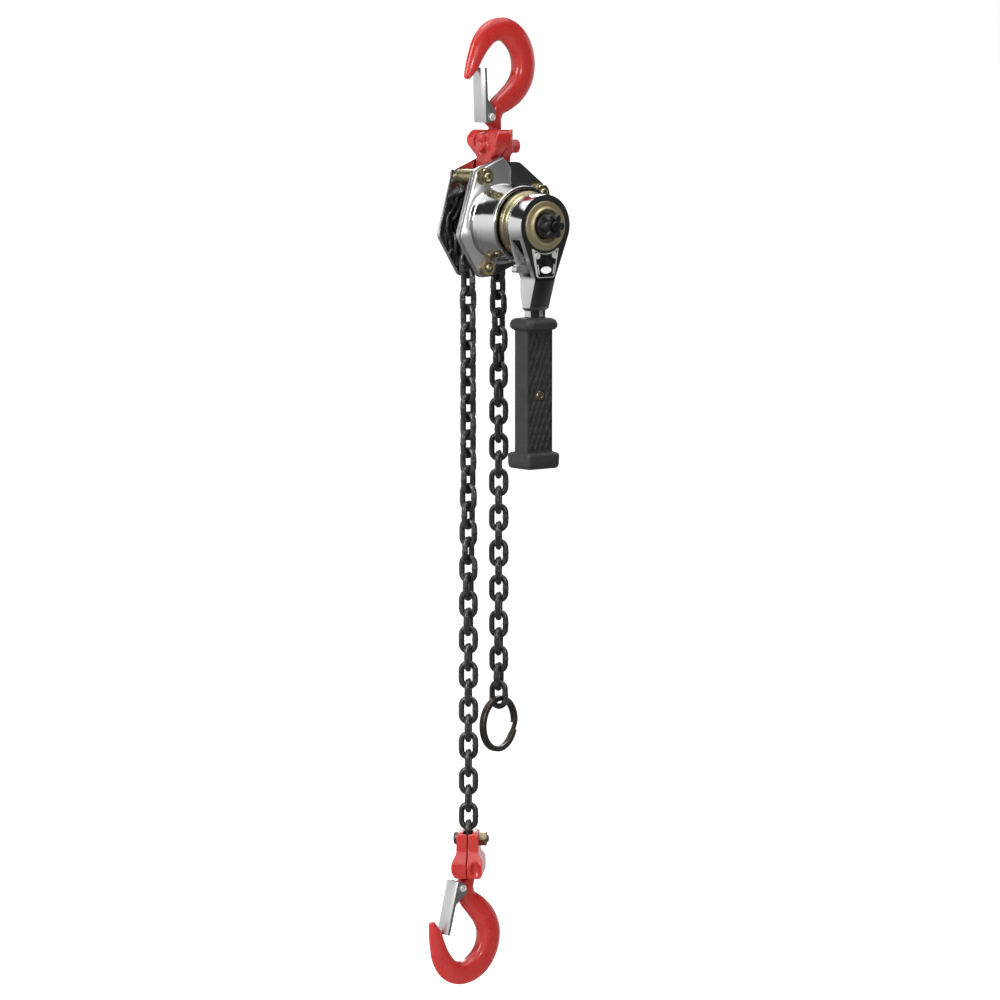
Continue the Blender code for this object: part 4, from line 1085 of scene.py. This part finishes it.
def dress_grip():
    """The rubber sleeve, with a guard at each end and ribs crossing on its wide faces."""
    shape = [(-60.6, 7.4, 5.4, 2.0), (-61.0, 10.2, 8.6, 3.2), (-62.2, 12.2, 10.8, 4.2)]
    shape += [(-64.5, 13.1, 11.9, 4.6), (-66.6, 13.1, 11.8, 4.6), (-68.0, 12.4, 10.6, 4.0)]
    shape += [(-68.6, 11.6, 8.2, 2.0), (-69.0, 11.0, 6.9, 1.3)]
    shape += [(-69.0 - 0.5 * k, 11.0, 6.9, 1.3) for k in range(1, 160)]
    shape += [(-149.2, 11.1, 7.0, 1.3), (-149.8, 12.2, 10.4, 1.8), (-150.6, 13.0, 11.6, 2.0)]
    shape += [(-151.8, 13.4, 12.0, 2.2), (-157.6, 13.2, 11.8, 2.2), (-159.4, 12.7, 11.2, 2.0)]
    shape += [(-160.2, 11.7, 10.2, 1.8), (-160.4, 9.0, 7.4, 1.6)]
    side, arc = 52, 4
    rings = []
    for z, hx, hy, r in shape:
        ring = []
        corners = [(hx, hy), (-hx, hy), (-hx, -hy), (hx, -hy)]
        for i, (cx, cy) in enumerate(corners):
            nx, ny = corners[(i + 1) % 4]
            sx, sy = (1 if cx > 0 else -1), (1 if cy > 0 else -1)
            start = {(1, 1): 0, (-1, 1): 90, (-1, -1): 180, (1, -1): 270}[(sx, sy)]
            for k in range(arc + 1):
                a = radians(start + 90 * k / arc)
                ring.append(((cx - sx * r) + r * cos(a), (cy - sy * r) + r * sin(a)))
            wide = i % 2 == 0
            steps = side if wide else 10
            for k in range(1, steps):
                t = k / steps
                if wide:
                    x = (cx - sx * r) + (nx + sx * r - (cx - sx * r)) * t
                    y = cy
                    if KNURLED[0] < z < KNURLED[1]:
                        edge = min(1, (hx - r - abs(x) + 0.4) / 0.8)
                        y = cy - sy * 0.8 * (1 - knurl(x, z)) * max(0, edge)
                    ring.append((x, y))
                else:
                    y = (cy - sy * r) + (ny + sy * r - (cy - sy * r)) * t
                    ring.append((cx, y))
        rings.append([(x + GRIP_X, GRIP_Y + y, z) for x, y in ring])
    grip = loft(rings)
    head_hole = hole(3.8, GRIP_Y - 12, GRIP_Y - 5.0, centre=(0, GRIP_SCREW_Z))
    socket = box((-6.4, 6.4), (GRIP_Y - 3.5, GRIP_Y + 3.5), (-155.6, -50))
    grip = carve(grip, head_hole, socket)
    to_piece("grip_sleeve", grip, "black_rubber", "lever", ["lever_grip"])
    profile = [(-6.3, 0.2), (-6.2, 1.0), (-6.6, 1.5), (-6.5, 2.6), (-6.0, 3.4)]
    profile += [(-5.1, 3.5), (-5.1, 1.7), (6.3, 1.7)]
    screw = lathe([(GRIP_Y + y, r) for y, r in profile], 32, centre=(0, GRIP_SCREW_Z))
    to_piece("grip_cross_screw", screw, "zinc_yellow", "lever", ["grip_screw"])


# -------- the whole hoist


def dress_cad():
    """CAD nodes that stay as they are get the same procedural finishes."""
    for node in frame["nodes"].values():
        for i, mat in enumerate(node.data.materials):
            slot = mat.name.split(".")[0]
            node.data.materials[i] = FINISHES.get(slot, FINISHES["machined_steel"])
        for poly in node.data.polygons:
            poly.use_smooth = False


FLOOR_RINGS, FLOOR_DROP = (0.5, 2, 6, 20, 60), 0.35  # metres


def studio():
    """A pale floor, soft boxes, and a world whose bands give the plating its contrast."""
    scene = bpy.context.scene
    scene.view_settings.view_transform = "Standard"
    world = bpy.data.worlds.new("studio")
    scene.world = world
    world.use_nodes = True
    tree = world.node_tree
    tree.nodes.clear()

    coords = add_node(tree, "ShaderNodeTexCoord")
    split = add_node(tree, "ShaderNodeSeparateXYZ")
    tree.links.new(coords.outputs["Generated"], split.inputs["Vector"])
    height = add_node(tree, "ShaderNodeMapRange")
    height.inputs["From Min"].default_value = -1
    tree.links.new(split.outputs["Z"], height.inputs["Value"])
    bands = add_node(tree, "ShaderNodeValToRGB")
    stops = [(0.0, 0.10), (0.22, 0.16), (0.36, 0.50), (0.47, 0.86), (0.63, 0.95), (0.655, 0.03)]
    stops += [(0.80, 0.03), (0.83, 1.5), (1.0, 1.5)]
    set_stops(bands, stops)
    tree.links.new(height.outputs["Result"], bands.inputs["Fac"])

    def sector(azimuth, start, end, dark):
        """Darkens the world round one compass direction, counted from -Y towards +X."""
        toward = Vector((sin(radians(azimuth)), -cos(radians(azimuth)), 0))
        dot = add_node(tree, "ShaderNodeVectorMath", operation="DOT_PRODUCT")
        dot.inputs[1].default_value = toward
        tree.links.new(coords.outputs["Generated"], dot.inputs[0])
        ease = add_node(tree, "ShaderNodeMapRange", interpolation_type="SMOOTHSTEP")
        ramp = {"From Min": start, "From Max": end, "To Min": 1.0, "To Max": dark}
        for key, value in ramp.items():
            ease.inputs[key].default_value = value
        tree.links.new(dot.outputs["Value"], ease.inputs["Value"])
        return ease.outputs["Result"]

    level = bands.outputs["Color"]
    for spec in ((38, 0.70, 0.88, 0.03), (-38, 0.55, 0.85, 0.35)):
        mix = add_node(tree, "ShaderNodeVectorMath", operation="SCALE")
        tree.links.new(level, mix.inputs[0])
        tree.links.new(sector(*spec), mix.inputs["Scale"])
        level = mix.outputs["Vector"]

    seen = add_node(tree, "ShaderNodeBackground")
    seen.inputs["Color"].default_value = (1.0, 1.0, 1.0, 1)
    light = add_node(tree, "ShaderNodeBackground")
    tree.links.new(level, light.inputs["Color"])
    path = add_node(tree, "ShaderNodeLightPath")
    mix = add_node(tree, "ShaderNodeMixShader")
    out = add_node(tree, "ShaderNodeOutputWorld")
    tree.links.new(path.outputs["Is Camera Ray"], mix.inputs["Fac"])
    tree.links.new(light.outputs["Background"], mix.inputs[1])
    tree.links.new(seen.outputs["Background"], mix.inputs[2])
    tree.links.new(mix.outputs["Shader"], out.inputs["Surface"])

    bm = bmesh.new()
    floor_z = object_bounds()[0][2] - FLOOR_DROP
    rows = [[bm.verts.new((r * x, r * y, 0)) for x, y in circle(1, 64)] for r in FLOOR_RINGS]
    bm.faces.new(rows[0])
    for a, b in zip(rows, rows[1:]):
        for i in range(64):
            j = (i + 1) % 64
            bm.faces.new((a[i], a[j], b[j], b[i]))
    bmesh.ops.recalc_face_normals(bm, faces=bm.faces)
    mesh = bpy.data.meshes.new("studio_floor")
    bm.to_mesh(mesh)
    bm.free()
    floor = bpy.data.objects.new("studio_floor", mesh)
    scene.collection.objects.link(floor)
    floor.location = (0, 0, floor_z)
    paper = Nodes("floor_paper")
    paper.colour(paper.noise(3, 2), [(0.3, 0.93), (0.7, 0.95)])
    paper.roughness(paper.noise(40, 2), [(0.3, 0.85), (0.7, 0.95)])
    paper.set(Emission_Color=(1, 1, 1, 1), Emission_Strength=0.3)
    mesh.materials.append(paper.mat)
    floor.visible_glossy = False
    floor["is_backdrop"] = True

    middle = AXIS + Vector((0, 0, -0.12))

    def lamp(name, azimuth, height, distance, size, power):
        data = bpy.data.lights.new(name, "AREA")
        data.shape, data.size, data.size_y, data.energy = "RECTANGLE", size[0], size[1], power
        obj = bpy.data.objects.new(name, data)
        scene.collection.objects.link(obj)
        a = radians(azimuth)
        obj.location = middle + Vector((sin(a) * distance, -cos(a) * distance, height))
        obj.rotation_euler = (middle - obj.location).to_track_quat("-Z", "Y").to_euler()

    lamp("key_box", -82, 1.1, 2.2, (0.9, 1.3), 42)
    lamp("fill_box", -12, 0.6, 3.0, (0.35, 0.35), 14)
    lamp("top_box", -30, 2.4, 0.4, (1.2, 1.2), 22)
    lamp("rim_box", 150, 1.0, 2.4, (1.0, 1.4), 22)


def camera():
    """The photograph's view: from the lever side, swung to the load chain, slightly above."""
    swing, away, height, pitch, pan = -38.04, 3.0, 0.1555, 6.5, 0.17
    a = radians(swing)
    data = bpy.data.cameras.new("photo_view")
    data.sensor_width = 36
    data.lens = 162.1
    obj = bpy.data.objects.new("photo_view", data)
    bpy.context.scene.collection.objects.link(obj)
    obj.location = AXIS + Vector((sin(a) * away, -cos(a) * away, height))
    obj.rotation_euler = (radians(90 - pitch), 0, a - radians(pan))
    data.clip_end = 200
    bpy.context.scene.camera = obj


def dress():
    dress_cad()
    place = hook_frame((HOOK_X, 0, SEAT_Z))
    dress_hook("top_hook", place, "top_hook", "top_latch")
    dress_yoke("top", yoke_frame((HOOK_X, 0, PIN_Z), 0.0), True, "top_yoke")
    dress_plates()
    dress_covers()
    dress_stays()
    dress_sheave()
    dress_lever()
    dress_lever_discs()
    dress_label()
    dress_selector()
    dress_knob()
    dress_grip()
    dress_chain()
    dress_ring()
    pin = yoke_frame((-JOINT_R, 0, CHAIN_PIN_Z), LOWER_YAW, lower=True)
    dress_yoke("lower", pin, False, "lower_yoke")
    neck_top = Vector((-JOINT_R, 0, CHAIN_PIN_Z + YOKE_NECK))
    place = hook_frame(neck_top, LOWER_HOOK_YAW, LOWER_HOOK_TILT, lower=True)
    place = place @ Matrix.Translation((0, 0, NECK))
    dress_hook("lower_hook", place, "lower_hook", "lower_latch")


dress()
studio()
camera()
